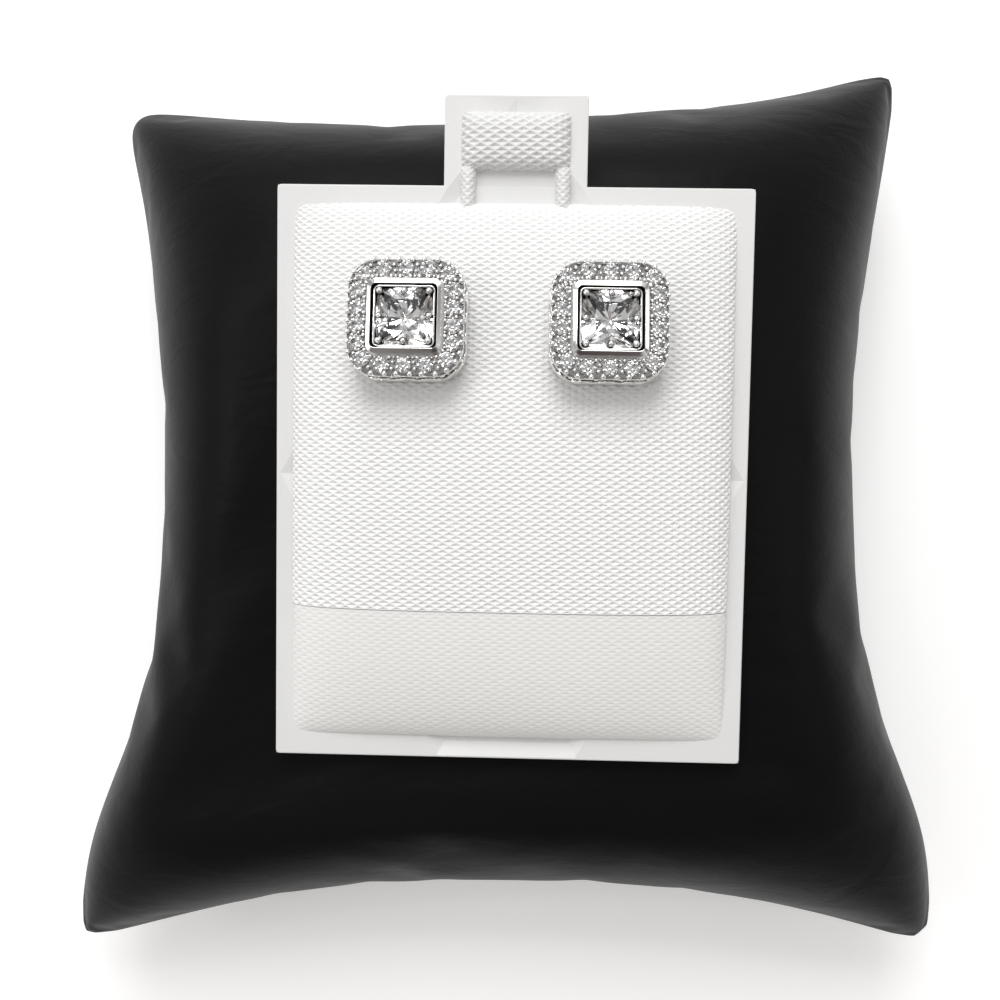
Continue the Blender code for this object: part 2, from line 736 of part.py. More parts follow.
def main():
    clear_scene()
    black = make_material("black_leatherette", (0.012, 0.012, 0.013), 0.42)
    white = make_material("white_leatherette", (0.86, 0.86, 0.85), 0.5)
    metal = make_material("bright_silver", (0.9, 0.9, 0.9), 0.08, metallic=1.0)
    crystal = make_material("crystal", (1.0, 1.0, 1.0), 0.0, transmission=1.0)

    shape = CardShape()
    card_frame = card_matrix()
    studs = {
        "left": stud_matrix(shape, STUD_PAIR_X - STUD_SPACING / 2),
        "right": stud_matrix(shape, STUD_PAIR_X + STUD_SPACING / 2),
    }
    post_hole = POST_DIAMETER / 2 + POST_CLEARANCE
    hole_cuts = [cylinder_cut(place, post_hole, -3 * CARD_WALL, CARD_WALL) for place in studs.values()]
    card = add_object("card", make_card(shape, hole_cuts), white)
    card.matrix_world = card_frame

    well_radius = POST_DIAMETER / 2 + WELL_CLEARANCE
    wells = [
        cylinder_cut(card_frame @ place, well_radius, -POST_LENGTH - WELL_CLEARANCE, 0)
        for place in studs.values()
    ]
    add_object("pillow", combine(make_pillow(), cut=wells, smooth_angle=60), black)

    setting = make_setting()
    centre_outline = square_outline(CENTRE_STONE_WIDTH / 2, CENTRE_STONE_CUT_CORNER)
    crown = CROWN_SHARE * CENTRE_STONE_WIDTH
    pavilion = PAVILION_SHARE * CENTRE_STONE_WIDTH
    centre_stone = brilliant(centre_outline, crown, pavilion, "centre_stone")
    halo_stone = single_cut(
        HALO_STONE_DIAMETER / 2,
        CROWN_SHARE * HALO_STONE_DIAMETER,
        PAVILION_SHARE * HALO_STONE_DIAMETER,
        "halo_stone",
    )
    clutch = make_clutch()
    for name, place in studs.items():
        frame = card_frame @ place
        add_stud(name, frame, setting, centre_stone, halo_stone, clutch, (metal, crystal))


main()
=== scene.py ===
import math

import bpy
import numpy as np
from mathutils import Euler, Matrix, Vector


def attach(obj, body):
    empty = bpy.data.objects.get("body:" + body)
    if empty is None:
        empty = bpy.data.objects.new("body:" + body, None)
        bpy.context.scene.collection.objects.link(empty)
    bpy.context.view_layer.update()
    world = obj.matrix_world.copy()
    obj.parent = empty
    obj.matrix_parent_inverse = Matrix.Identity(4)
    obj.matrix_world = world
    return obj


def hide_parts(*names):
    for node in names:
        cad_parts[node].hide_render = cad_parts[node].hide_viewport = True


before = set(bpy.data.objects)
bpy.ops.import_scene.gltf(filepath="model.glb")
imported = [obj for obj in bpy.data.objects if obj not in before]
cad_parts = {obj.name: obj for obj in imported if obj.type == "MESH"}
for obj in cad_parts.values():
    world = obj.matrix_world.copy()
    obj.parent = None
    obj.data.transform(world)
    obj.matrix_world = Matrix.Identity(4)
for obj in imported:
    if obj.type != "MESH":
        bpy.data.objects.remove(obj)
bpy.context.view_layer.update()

MM = 0.001


# Camera
# Straight above the card, at the photo's distance of about 10 cm from the earrings.
# The lens gives the photo's frame.
CAMERA_PLACE = (-0.69 * MM, 0.19 * MM, 133.2 * MM)
CAMERA_TURN = (0.204, -0.077, 0.0)
CAMERA_LENS = 43.5
camera = bpy.data.objects.new("camera", bpy.data.cameras.new("camera"))
camera.location = CAMERA_PLACE
camera.rotation_euler = [math.radians(angle) for angle in CAMERA_TURN]
camera.data.lens = CAMERA_LENS
camera.data.clip_start = MM
bpy.context.collection.objects.link(camera)
bpy.context.scene.camera = camera


# Card cover
# One sheet of white leatherette, heat-formed over the card's shell and folded round its edge.
# The border is smooth. The puff, the tab's pad and its two legs are pressed with small lozenges.
CARD_CENTRE = Vector((0.42, 2.65, 26.5)) * MM
CARD_LEAN = (4.27, -1.7, -1.04)
CARD_HALF = (20.5 * MM, 24.95 * MM)
BORDER = 1.4 * MM
EDGE_OUT = 0.05 * MM
FOLD = 0.1 * MM
CORNER_ROUND = 0.35 * MM
RIM_HEIGHT = 1.15 * MM
CREASE_HEIGHT = 0.75 * MM
PUFF_HALF = (19.1 * MM, 23.35 * MM)
PUFF_MIDDLE = 0.2 * MM
PUFF_CROWN = 4.3 * MM
TAB_HALF = 6.15 * MM
TAB_TOP = 32.7 * MM
PAD_HALF = 4.75 * MM
PAD_BOTTOM = 26.35 * MM
PAD_TOP = 31.3 * MM
PAD_RISE = 1.5 * MM
LEG_INSIDE = 3.4 * MM
LEG_BOTTOM = 22.4 * MM
LEG_TOP = 26.9 * MM
LEG_RISE = 0.9 * MM
RECESS_DEPTH = 0.12 * MM
COVER_SKIN = 0.2 * MM
LABEL_LINE = -11.4 * MM
LABEL_LAP = 0.02 * MM
LOZENGE = (1.12 * MM, 0.6 * MM)
TAB_LOZENGE = (1.19 * MM, 0.7 * MM)
LOZENGE_DEPTH = 0.2 * MM
LABEL_DEPTH = 0.035 * MM
LEG_LOZENGE = (0.7 * MM, 0.6 * MM)
LEG_DEPTH = 0.1 * MM
THREAD = 0.05 * MM
SHEET_FOOT = 0.35 * MM
SLOPE_STEP = 0.02 * MM
STEEPEST = 4
WALK_STEPS = 2001

card_turn = Euler([math.radians(angle) for angle in CARD_LEAN]).to_matrix().to_4x4()
card_place = Matrix.Translation(CARD_CENTRE) @ card_turn
card_inverse = card_place.inverted()
card_up = card_place.to_3x3() @ Vector((0, 0, 1))


def deselect():
    if bpy.context.mode != "OBJECT":
        bpy.ops.object.mode_set(mode="OBJECT")
    bpy.ops.object.select_all(action="DESELECT")


def pick(*objects):
    """Selects these objects alone, the first as the active one"""
    deselect()
    for obj in objects:
        obj.select_set(True)
    bpy.context.view_layer.objects.active = objects[0]


def edit(obj):
    """Edit mode on one piece, with all of it selected"""
    pick(obj)
    bpy.ops.object.mode_set(mode="EDIT")
    bpy.ops.mesh.select_all(action="SELECT")


def leave():
    bpy.ops.object.mode_set(mode="OBJECT")


def choose(obj, kind, rule):
    """Selects the vertices, edges or faces whose middle passes the rule, in edit mode"""
    modes = {"VERT": "vertices", "EDGE": "edges", "FACE": "polygons"}
    bpy.ops.mesh.select_mode(type=kind)
    bpy.ops.mesh.select_all(action="DESELECT")
    leave()
    mesh = obj.data
    for item in getattr(mesh, modes[kind]):
        if kind == "VERT":
            middle = item.co
        elif kind == "FACE":
            middle = item.center
        else:
            middle = (mesh.vertices[item.vertices[0]].co + mesh.vertices[item.vertices[1]].co) / 2
        item.select = bool(rule(middle, item))
    bpy.ops.object.mode_set(mode="EDIT")


def read_points(obj):
    points = np.empty(len(obj.data.vertices) * 3)
    obj.data.vertices.foreach_get("co", points)
    return points.reshape(-1, 3)


def write_points(obj, points):
    obj.data.vertices.foreach_set("co", np.ascontiguousarray(points, dtype=float).ravel())
    obj.data.update()


def bump(distance, half, power):
    """1 in the middle and 0 from half on, flatter in between the higher the power"""
    return np.clip(1 - np.abs(distance / half) ** power, 0, None)


def puff_rise(x, y):
    """The crowned puff: flat across, rounder up and down"""
    across = bump(x, PUFF_HALF[0], 3) ** 0.4
    along = bump(y - PUFF_MIDDLE, PUFF_HALF[1], 2) ** 0.5
    return PUFF_CROWN * across * along


def pad_rise(x, y):
    """The raised pad on the tab"""
    middle = (PAD_BOTTOM + PAD_TOP) / 2
    half = (PAD_TOP - PAD_BOTTOM) / 2
    return PAD_RISE * (bump(x, PAD_HALF, 6) * bump(y - middle, half, 3)) ** 0.5


def leg_rise(x, y):
    """The tab's two raised legs"""
    middle = (LEG_INSIDE + PAD_HALF) / 2
    run = (LEG_BOTTOM + LEG_TOP) / 2
    across = bump(np.abs(x) - middle, (PAD_HALF - LEG_INSIDE) / 2, 2)
    return LEG_RISE * (across * bump(y - run, (LEG_TOP - LEG_BOTTOM) / 2, 4)) ** 0.5


def slopes(rise, x, y, step):
    """How steeply rise(x, y) climbs along x and along y"""
    slope_x = (rise(x + step, y) - rise(x - step, y)) / (2 * step)
    slope_y = (rise(x, y + step) - rise(x, y - step)) / (2 * step)
    return slope_x, slope_y


def spread(low, high, height_at):
    """Even steps along a curved surface: distances walked, and the plan place of each"""
    plan = np.linspace(low, high, WALK_STEPS)
    height = height_at(plan)
    walked = np.concatenate(([0], np.cumsum(np.hypot(np.diff(plan), np.diff(height)))))
    return walked, plan


def lozenge_sheet(name, low, high, rise, lozenge, depth):
    """A sheet pressed with lozenges, laid over rise(x, y) between two corners, and closed underneath"""
    middle = ((low[0] + high[0]) / 2, (low[1] + high[1]) / 2)
    walk_x, plan_x = spread(low[0], high[0], lambda x: rise(x, middle[1]))
    walk_y, plan_y = spread(low[1], high[1], lambda y: rise(middle[0], y))
    size = (walk_x[-1], walk_y[-1])
    cells = math.ceil(size[0] / lozenge[0] + size[1] / lozenge[1]) + 3
    deselect()
    bpy.ops.mesh.primitive_grid_add(
        x_subdivisions=cells, y_subdivisions=cells, size=cells, rotation=(0, 0, math.pi / 4)
    )
    sheet = bpy.context.object
    sheet.name = name
    bpy.ops.object.transform_apply(location=False, rotation=True, scale=False)
    edit(sheet)
    stretch = [side / math.sqrt(2) for side in lozenge]
    bpy.ops.transform.resize(value=(stretch[0], stretch[1], 1))
    for axis in (0, 1):
        for side in (-1, 1):
            edge = Vector((0, 0, 0))
            edge[axis] = side * size[axis] / 2
            outward = Vector((0, 0, 0))
            outward[axis] = side
            bpy.ops.mesh.select_all(action="SELECT")
            bpy.ops.mesh.bisect(plane_co=edge, plane_no=outward, clear_outer=True)
    bpy.ops.mesh.select_mode(type="FACE")
    bpy.ops.mesh.select_all(action="SELECT")
    bpy.ops.mesh.inset(thickness=THREAD, use_individual=True)
    bpy.ops.mesh.poke(offset=-depth, use_relative_offset=False, center_mode="MEDIAN")
    leave()
    points = read_points(sheet)
    pressed = points[:, 2].copy()
    x = np.interp(points[:, 0] + size[0] / 2, walk_x, plan_x)
    y = np.interp(points[:, 1] + size[1] / 2, walk_y, plan_y)
    height = rise(x, y)
    slope_x, slope_y = slopes(rise, x, y, SLOPE_STEP)
    slope_x = np.clip(slope_x, -STEEPEST, STEEPEST)
    slope_y = np.clip(slope_y, -STEEPEST, STEEPEST)
    tilt = np.sqrt(1 + slope_x**2 + slope_y**2)
    placed = np.column_stack((
        x - pressed * slope_x / tilt,
        y - pressed * slope_y / tilt,
        CREASE_HEIGHT + COVER_SKIN + height + pressed / tilt,
    ))
    write_points(sheet, placed)
    edit(sheet)
    bpy.ops.mesh.select_mode(type="EDGE")
    bpy.ops.mesh.select_all(action="DESELECT")
    bpy.ops.mesh.select_non_manifold()
    bpy.ops.mesh.extrude_edges_move(TRANSFORM_OT_translate={"value": (0, 0, -SHEET_FOOT)})
    bpy.ops.mesh.edge_face_add()
    bpy.ops.mesh.select_all(action="SELECT")
    bpy.ops.mesh.normals_make_consistent(inside=False)
    leave()
    return sheet


def make_border():
    """The smooth frame with its rim, and the floor inside it that the raised parts stand on"""
    deselect()
    bpy.ops.mesh.primitive_plane_add(size=2)
    piece = bpy.context.object
    piece.name = "card_border"
    edit(piece)
    reach_x = CARD_HALF[0] + EDGE_OUT
    reach_y = CARD_HALF[1] + EDGE_OUT
    bpy.ops.transform.resize(value=(reach_x, reach_y, 1))
    for side in (-1, 1):
        bpy.ops.mesh.select_all(action="SELECT")
        bpy.ops.mesh.bisect(plane_co=(side * TAB_HALF, 0, 0), plane_no=(1, 0, 0))
    choose(piece, "EDGE", lambda m, e: m.y > reach_y * 0.99 and abs(m.x) < TAB_HALF / 2)
    bpy.ops.mesh.extrude_region_move(TRANSFORM_OT_translate={"value": (0, TAB_TOP - reach_y, 0)})
    bpy.ops.mesh.select_all(action="SELECT")
    bpy.ops.mesh.normals_make_consistent(inside=False)
    choose(piece, "VERT", lambda p, v: abs(p.x) > TAB_HALF * 1.1 or p.y > TAB_TOP * 0.99)
    bpy.ops.mesh.bevel(offset=CORNER_ROUND, segments=4, affect="VERTICES")
    bpy.ops.mesh.select_mode(type="FACE")
    bpy.ops.mesh.select_all(action="SELECT")
    # Outside of the folded edge, its round, the rim, the slope down to the crease
    top = RIM_HEIGHT + COVER_SKIN * 0.6
    floor_height = CREASE_HEIGHT + COVER_SKIN * 0.5
    bpy.ops.mesh.extrude_region_move(TRANSFORM_OT_translate={"value": (0, 0, top - FOLD)})
    bpy.ops.mesh.inset(thickness=FOLD * 0.4, depth=FOLD * 0.7)
    bpy.ops.mesh.inset(thickness=FOLD * 0.6, depth=FOLD * 0.3)
    bpy.ops.mesh.inset(thickness=FOLD * 0.8, depth=0)
    bpy.ops.mesh.inset(thickness=FOLD, depth=-FOLD * 0.35)
    # Each corner's round ends here in one point, so that the slope inside it has a clean mitre
    ring_height = top - FOLD * 0.35
    arc = CORNER_ROUND + FOLD / 2

    def at_corner(p, v):
        on_card = abs(p.x) > reach_x - arc and abs(p.y) > reach_y - arc
        on_tab = abs(p.x) > TAB_HALF - arc and p.y > TAB_TOP - arc
        return abs(p.z - ring_height) < FOLD / 50 and (on_card or on_tab)

    choose(piece, "VERT", at_corner)
    bpy.ops.mesh.merge(type="COLLAPSE")
    choose(piece, "FACE", lambda m, f: abs(m.z - ring_height) < FOLD / 50 and f.normal.z > 0.9)
    bpy.ops.mesh.inset(thickness=BORDER - 2.8 * FOLD, depth=floor_height - ring_height)
    # The dip between the tab's legs
    bpy.ops.mesh.bisect(plane_co=(0, CARD_HALF[1], 0), plane_no=(0, 1, 0))
    for side in (-1, 1):
        bpy.ops.mesh.select_all(action="SELECT")
        bpy.ops.mesh.bisect(plane_co=(side * LEG_INSIDE, 0, 0), plane_no=(1, 0, 0))
    choose(
        piece, "FACE",
        lambda m, f: abs(m.x) < LEG_INSIDE and m.y > CARD_HALF[1] and abs(m.z - floor_height) < FOLD / 10,
    )
    bpy.ops.mesh.inset(thickness=FOLD / 2, depth=-RECESS_DEPTH)
    bpy.ops.mesh.select_all(action="SELECT")
    bpy.ops.mesh.normals_make_consistent(inside=False)
    leave()
    return piece


border = make_border()
low = (-PUFF_HALF[0], PUFF_MIDDLE - PUFF_HALF[1])
high = (PUFF_HALF[0], PUFF_MIDDLE + PUFF_HALF[1])
puff = lozenge_sheet("puff_cover", (low[0], LABEL_LINE), high, puff_rise, LOZENGE, LOZENGE_DEPTH)
label = lozenge_sheet("label_panel", low, (high[0], LABEL_LINE + LABEL_LAP), puff_rise, LOZENGE, LABEL_DEPTH)
pad = lozenge_sheet(
    "tab_pad", (-PAD_HALF, PAD_BOTTOM), (PAD_HALF, PAD_TOP), pad_rise, TAB_LOZENGE, LOZENGE_DEPTH
)
legs = [
    lozenge_sheet(name, (left, LEG_BOTTOM), (right, LEG_TOP), leg_rise, LEG_LOZENGE, LEG_DEPTH)
    for name, left, right in (
        ("tab_leg_left", -PAD_HALF, -LEG_INSIDE),
        ("tab_leg_right", LEG_INSIDE, PAD_HALF),
    )
]
for piece in (border, puff, label, pad, *legs):
    piece.data.transform(card_place)
    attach(piece, "root")


# Finishes of the card
# White leatherette has a satin skin with a very fine grain. The border, the tab's pad and its legs are greyer
# as painted shade; the label panel is a little greyer and warmer than the puff.
def new_group(name, inputs, outputs):
    """A shader node group with named sockets"""
    group = bpy.data.node_groups.new(name, "ShaderNodeTree")
    for title, kind, value in inputs:
        socket = group.interface.new_socket(title, in_out="INPUT", socket_type=kind)
        if value is not None:
            socket.default_value = value
    for title, kind in outputs:
        group.interface.new_socket(title, in_out="OUTPUT", socket_type=kind)
    return group


def add_node(tree, kind, inputs=(), **settings):
    """A node with its settings and its inputs, each a value or the socket that feeds it"""
    node = tree.nodes.new("ShaderNode" + kind)
    for key, value in settings.items():
        setattr(node, key, value)
    for key, value in dict(inputs).items():
        if isinstance(value, bpy.types.NodeSocket):
            tree.links.new(value, node.inputs[key])
        else:
            node.inputs[key].default_value = value
    return node


def make_grain_group():
    """Leather grain: small pebbles with fine pores, and soft creases, as a height and a tone"""
    group = new_group(
        "leather_grain",
        [
            ("Vector", "NodeSocketVector", None),
            ("Pebbles", "NodeSocketFloat", 1800.0),
            ("Pores", "NodeSocketFloat", 9000.0),
            ("Creases", "NodeSocketFloat", 0.0),
        ],
        [("Height", "NodeSocketFloat"), ("Tone", "NodeSocketFloat")],
    )
    source = group.nodes.new("NodeGroupInput")
    sink = group.nodes.new("NodeGroupOutput")
    cells = add_node(
        group, "TexVoronoi", {"Vector": source.outputs["Vector"], "Scale": source.outputs["Pebbles"]},
        feature="F1",
    )
    pores = add_node(
        group, "TexNoise",
        {"Vector": source.outputs["Vector"], "Scale": source.outputs["Pores"], "Detail": 2.0},
    )
    broad = add_node(group, "TexNoise", {"Vector": source.outputs["Vector"], "Scale": 60.0, "Detail": 3.0})
    grain = add_node(group, "Math", {0: cells.outputs["Distance"], 1: pores.outputs["Fac"]}, operation="ADD")
    along = add_node(
        group, "VectorMath", {0: source.outputs["Vector"], 1: (1.0, 2.2, 1.0)}, operation="MULTIPLY"
    )
    folds = add_node(
        group, "TexNoise",
        {"Vector": along.outputs["Vector"], "Scale": 170.0, "Detail": 4.0, "Distortion": 0.8},
    )
    height = add_node(
        group, "Math", {0: folds.outputs["Fac"], 1: source.outputs["Creases"], 2: grain.outputs[0]},
        operation="MULTIPLY_ADD",
    )
    tone = add_node(group, "MapRange", {"Value": broad.outputs["Fac"], "From Min": 0.3, "From Max": 0.7})
    group.links.new(height.outputs[0], sink.inputs["Height"])
    group.links.new(tone.outputs[0], sink.inputs["Tone"])
    return group


grain_group = make_grain_group()


def leather(name, light, dark, roughness, grain, pebbles, pores, depth, gloss=0.5, sheen=0.0, creases=0.0):
    """A leatherette: its tone drifts between two colours, its roughness between two values"""
    material = bpy.data.materials.new(name)
    material.use_nodes = True
    tree = material.node_tree
    shader = tree.nodes["Principled BSDF"]
    shader.inputs["Specular IOR Level"].default_value = gloss
    shader.inputs["Sheen Weight"].default_value = sheen
    shader.inputs["Sheen Roughness"].default_value = 0.35
    place = add_node(tree, "TexCoord")
    group = add_node(tree, "Group", node_tree=grain_group)
    group.inputs["Pebbles"].default_value = pebbles
    group.inputs["Pores"].default_value = pores
    group.inputs["Creases"].default_value = creases
    tree.links.new(place.outputs["Object"], group.inputs["Vector"])
    color = add_node(tree, "Mix", {"Factor": group.outputs["Tone"]}, data_type="RGBA")
    color.inputs["A"].default_value = (*light, 1)
    color.inputs["B"].default_value = (*dark, 1)
    rough = add_node(
        tree, "MapRange",
        {"Value": group.outputs["Tone"], "To Min": roughness[0], "To Max": roughness[1]},
    )
    grain_bump = add_node(
        tree, "Bump", {"Height": group.outputs["Height"], "Strength": grain, "Distance": depth}
    )
    tree.links.new(color.outputs["Result"], shader.inputs["Base Color"])
    tree.links.new(rough.outputs[0], shader.inputs["Roughness"])
    tree.links.new(grain_bump.outputs[0], shader.inputs["Normal"])
    return material


def dress(obj, material):
    """Gives every face of a piece one material"""
    if not obj.material_slots:
        obj.data.materials.append(material)
    for slot in obj.material_slots:
        slot.material = material


def shade(obj, angle=None):
    """Smooth shading, with the edges over the given angle kept sharp"""
    pick(obj)
    if angle is None:
        bpy.ops.object.shade_smooth()
    else:
        bpy.ops.object.shade_smooth_by_angle(angle=math.radians(angle))


white = leather(
    "white_leatherette", light=(0.86, 0.86, 0.855), dark=(0.83, 0.83, 0.825), roughness=(0.42, 0.5),
    grain=0.25, pebbles=6000.0, pores=15000.0, depth=0.02 * MM,
)
# A greyer copy of the white leatherette: painted shade for the border, the tab's pad and its legs
border_painted_shade = leather(
    "border_leatherette_painted_shade", light=(0.745, 0.745, 0.74), dark=(0.705, 0.705, 0.7), roughness=(0.42, 0.5),
    grain=0.3, pebbles=4500.0, pores=15000.0, depth=0.02 * MM,
)
label_white = leather(
    "label_leatherette", light=(0.84, 0.838, 0.822), dark=(0.81, 0.808, 0.792), roughness=(0.45, 0.55),
    grain=0.2, pebbles=6000.0, pores=15000.0, depth=0.02 * MM,
)
dress(puff, white)
# The border, the tab's pad and its legs wear the greyer leatherette as painted shade
for piece in (border, pad, *legs):
    dress(piece, border_painted_shade)
dress(label, label_white)
dress(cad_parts["card"], white)
shade(border, 15)


# Display pillow
# Two squares of black leatherette sewn face to face, turned and stuffed, so that their sides pull in.
# It is pressed flat under the card and where it lies. Its finest creases are in the finish.
SEAM_HEIGHT = 11.5 * MM
CARD_BACK_GAP = 0.3 * MM
PILLOW_FULL = 0.5 * MM
SIM_SCALE = 10
TIP_AREA = (37 * MM, 38.5 * MM)
TIP_CREASE = 0.45
RESTING = 0.3 * MM

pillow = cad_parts["pillow"].copy()
pillow.data = pillow.data.copy()
pillow.name = "pillow_cover"
bpy.context.collection.objects.link(pillow)
pillow.hide_render = False
edit(pillow)
bpy.ops.mesh.remove_doubles(threshold=0.001 * MM)
bpy.ops.mesh.tris_convert_to_quads()
bpy.ops.mesh.normals_make_consistent(inside=False)
leave()


def on_seam(point):
    """True on the seam, half way up the pillow"""
    return abs(point.z - SEAM_HEIGHT) < 0.005 * MM


crease = pillow.data.attributes.new("crease_edge", "FLOAT", "EDGE")
seam_points = [on_seam(v.co) for v in pillow.data.vertices]
for edge in pillow.data.edges:
    if all(seam_points[i] for i in edge.vertices):
        crease.data[edge.index].value = 1.0
tips = pillow.data.attributes.new("crease_vert", "FLOAT", "POINT")
for vertex in pillow.data.vertices:
    at_tip = abs(vertex.co.x) > TIP_AREA[0] and abs(vertex.co.y) > TIP_AREA[1]
    if seam_points[vertex.index] and at_tip:
        tips.data[vertex.index].value = TIP_CREASE
smooth = pillow.modifiers.new("subdivide", "SUBSURF")
smooth.levels = 2
smooth.render_levels = 2
pick(pillow)
bpy.ops.object.modifier_apply(modifier=smooth.name)


def is_held(point):
    """True at the seam, under the card and on the floor, and false where the cover is free"""
    if abs(point.z - SEAM_HEIGHT) < 0.05 * MM or point.z < RESTING:
        return True
    local = card_inverse @ point
    under = abs(local.x) < CARD_HALF[0] + MM and abs(local.y) < CARD_HALF[1] + MM
    return under and point.z > SEAM_HEIGHT


free_group = pillow.vertex_groups.new(name="free")
for vertex in pillow.data.vertices:
    free_group.add([vertex.index], 0.0 if is_held(vertex.co) else 1.0, "REPLACE")
relax = pillow.modifiers.new("relax", "SMOOTH")
relax.iterations = 14
relax.factor = 0.5
relax.vertex_group = "free"
pick(pillow)
bpy.ops.object.modifier_apply(modifier=relax.name)

held_group = pillow.vertex_groups.new(name="held")
held = [vertex.index for vertex in pillow.data.vertices if is_held(vertex.co)]
held_group.add(held, 1.0, "REPLACE")
before = read_points(pillow)
write_points(pillow, before * SIM_SCALE)
cloth = pillow.modifiers.new("cloth", "CLOTH")
cloth.settings.quality = 5
cloth.settings.mass = 0.3
cloth.settings.tension_stiffness = 15
cloth.settings.compression_stiffness = 15
cloth.settings.shear_stiffness = 8
cloth.settings.bending_stiffness = 4.0
cloth.settings.use_pressure = True
cloth.settings.uniform_pressure_force = 2.5
cloth.settings.shrink_min = -0.003
cloth.settings.vertex_group_mass = "held"
cloth.settings.effector_weights.gravity = 0
for step in range(1, 21):
    bpy.context.scene.frame_set(step)
pick(pillow)
bpy.ops.object.modifier_apply(modifier=cloth.name)
bpy.context.scene.frame_set(1)
after = read_points(pillow) / SIM_SCALE
move = after - before
length = np.linalg.norm(move, axis=1, keepdims=True)
capped = move * np.minimum(1, PILLOW_FULL / np.maximum(length, 1e-9))
write_points(pillow, before + capped)

smooth = pillow.modifiers.new("subdivide", "SUBSURF")
smooth.levels = 1
smooth.render_levels = 1
pick(pillow)
bpy.ops.object.modifier_apply(modifier=smooth.name)
points = read_points(pillow)
from_card = points[:, :2] - np.array(CARD_CENTRE[:2])
slope = (from_card[:, 0] * card_up.x + from_card[:, 1] * card_up.y) / card_up.z
ceiling = CARD_CENTRE.z - slope - CARD_BACK_GAP / 2
turn = np.array(card_inverse.to_3x3())
local = points @ turn.T + np.array(card_inverse.translation)
under = (np.abs(local[:, 0]) < CARD_HALF[0] + MM) & (np.abs(local[:, 1]) < CARD_HALF[1] + MM)
under |= (np.abs(local[:, 0]) < TAB_HALF + MM) & (local[:, 1] > 0)
points[:, 2] = np.where(under, np.minimum(points[:, 2], ceiling), points[:, 2])
points[:, 2] = np.maximum(points[:, 2], 0)
write_points(pillow, points)
for group in list(pillow.vertex_groups):
    pillow.vertex_groups.remove(group)
shade(pillow)
black = leather(
    "black_leatherette", light=(0.003, 0.003, 0.0032), dark=(0.002, 0.002, 0.0022), roughness=(0.4, 0.5),
    grain=0.25, pebbles=3200.0, pores=9000.0, depth=0.03 * MM, gloss=0.1, sheen=0.045, creases=14.0,
)
dress(pillow, black)
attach(pillow, "root")
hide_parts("pillow")


# Earring settings
# Cast silver plated with rhodium: a square halo with round corners on an open gallery, a polished collar,
# a deep moat and a thin basket, all soldered to one back plate with the post. Each bead is a raised prong.
STUD_X = (-8.6 * MM, 7.9 * MM)
STUD_Y = 12.9 * MM
SEAT_GAP = 0.12 * MM
CENTRE_STONE_HALF = 2.35 * MM
CENTRE_CUT_CORNER = 0.33 * MM
POCKET_HALF = CENTRE_STONE_HALF + 0.03 * MM
BASKET_WALL = 0.16 * MM
BASKET_HALF = POCKET_HALF + BASKET_WALL
BASKET_CORNER = 0.48 * MM
MOAT = 0.2 * MM
COLLAR_INSIDE = BASKET_HALF + MOAT
COLLAR_WALL = 0.33 * MM
COLLAR_HALF = COLLAR_INSIDE + COLLAR_WALL
COLLAR_CORNER = 0.75 * MM
COLLAR_GAP = 0.25 * MM
HALO_STONE_HALF = 0.65 * MM
STONE_LINE = COLLAR_HALF + COLLAR_GAP + HALO_STONE_HALF
HALO_RIM = 0.18 * MM
HALO_HALF = STONE_LINE + HALO_STONE_HALF + HALO_RIM
HALO_CORNER = 2.5 * MM
STONE_CORNER = HALO_CORNER - HALO_RIM - HALO_STONE_HALF
HALO_TOP = 3.204 * MM
COLLAR_TOP = HALO_TOP + 0.55 * MM
BASKET_TOP = HALO_TOP + 0.35 * MM
COLLAR_SLOPE = 0.09 * MM
COLLAR_SQUEEZE = 0.965
DECK_DROP = 0.14 * MM
BODY_INSET = 0.06 * MM
BODY_HALF = HALO_HALF - BODY_INSET
BODY_CORNER = HALO_CORNER - BODY_INSET
BODY_FOOT = 1.02 * MM
GALLERY_TOP = BODY_FOOT + 0.02 * MM
BACK_PLATE = 0.8 * MM
PRONG_LINE = POCKET_HALF - 0.33 * MM
PRONG_RADIUS = 0.29 * MM
PRONG_HEIGHT = HALO_TOP + 0.44 * MM
POST_HALF = 0.4 * MM
POST_END = -9.0 * MM
STEPS = (4, 5, 4, 5)
WIRE_POINTS = 8
POCKET_LINES_X = (-0.9 * MM, 0.9 * MM)
POCKET_LINES_Y = (-1.44 * MM, 0, 1.44 * MM)
SEAT_DEPTH = 0.7 * MM
GALLERY_INSET = 0.4 * MM
GALLERY_FOOT = 0.25 * MM
BEAD_INSET = 0.11 * MM
BEAD_STEM = 0.2 * MM


def stud_place(x):
    """A stud's place in the world, from the slope of the puff under it"""
    slope_x, slope_y = slopes(puff_rise, x, STUD_Y, 0.1 * MM)
    up = Vector((-slope_x, -slope_y, 1)).normalized()
    right = Vector((1, 0, slope_x)).normalized()
    turn = Matrix((right, up.cross(right), up)).transposed()
    seat = Vector((x, STUD_Y, CREASE_HEIGHT + puff_rise(x, STUD_Y))) + up * SEAT_GAP
    return card_place @ Matrix.Translation(seat) @ turn.to_4x4()


def halo_path(half, corner, share):
    """The point at a share of the way round a round-cornered square, from the middle of its +Y side"""
    flat = half - corner
    arc = corner * math.pi / 2
    quarter_run = 2 * flat + arc
    quarter, along = divmod((share % 1.0) * 4 * quarter_run, quarter_run)
    if along <= flat:
        point = Vector((along, half, 0))
    elif along <= flat + arc:
        angle = (along - flat) / corner
        point = Vector((flat + corner * math.sin(angle), flat + corner * math.cos(angle), 0))
    else:
        point = Vector((half, flat - (along - flat - arc), 0))
    return Matrix.Rotation(-quarter * math.pi / 2, 3, "Z") @ point


def halo_row(half, corner, offsets, height):
    """Places round the halo, at offsets given as shares of the step between stones"""
    row = []
    for quarter, steps in enumerate(STEPS):
        for k in range(steps):
            for offset in offsets:
                share = (quarter - 0.5 + (k + offset) / steps) / 4
                row.append(halo_path(half, corner, share) + Vector((0, 0, height)))
    return row


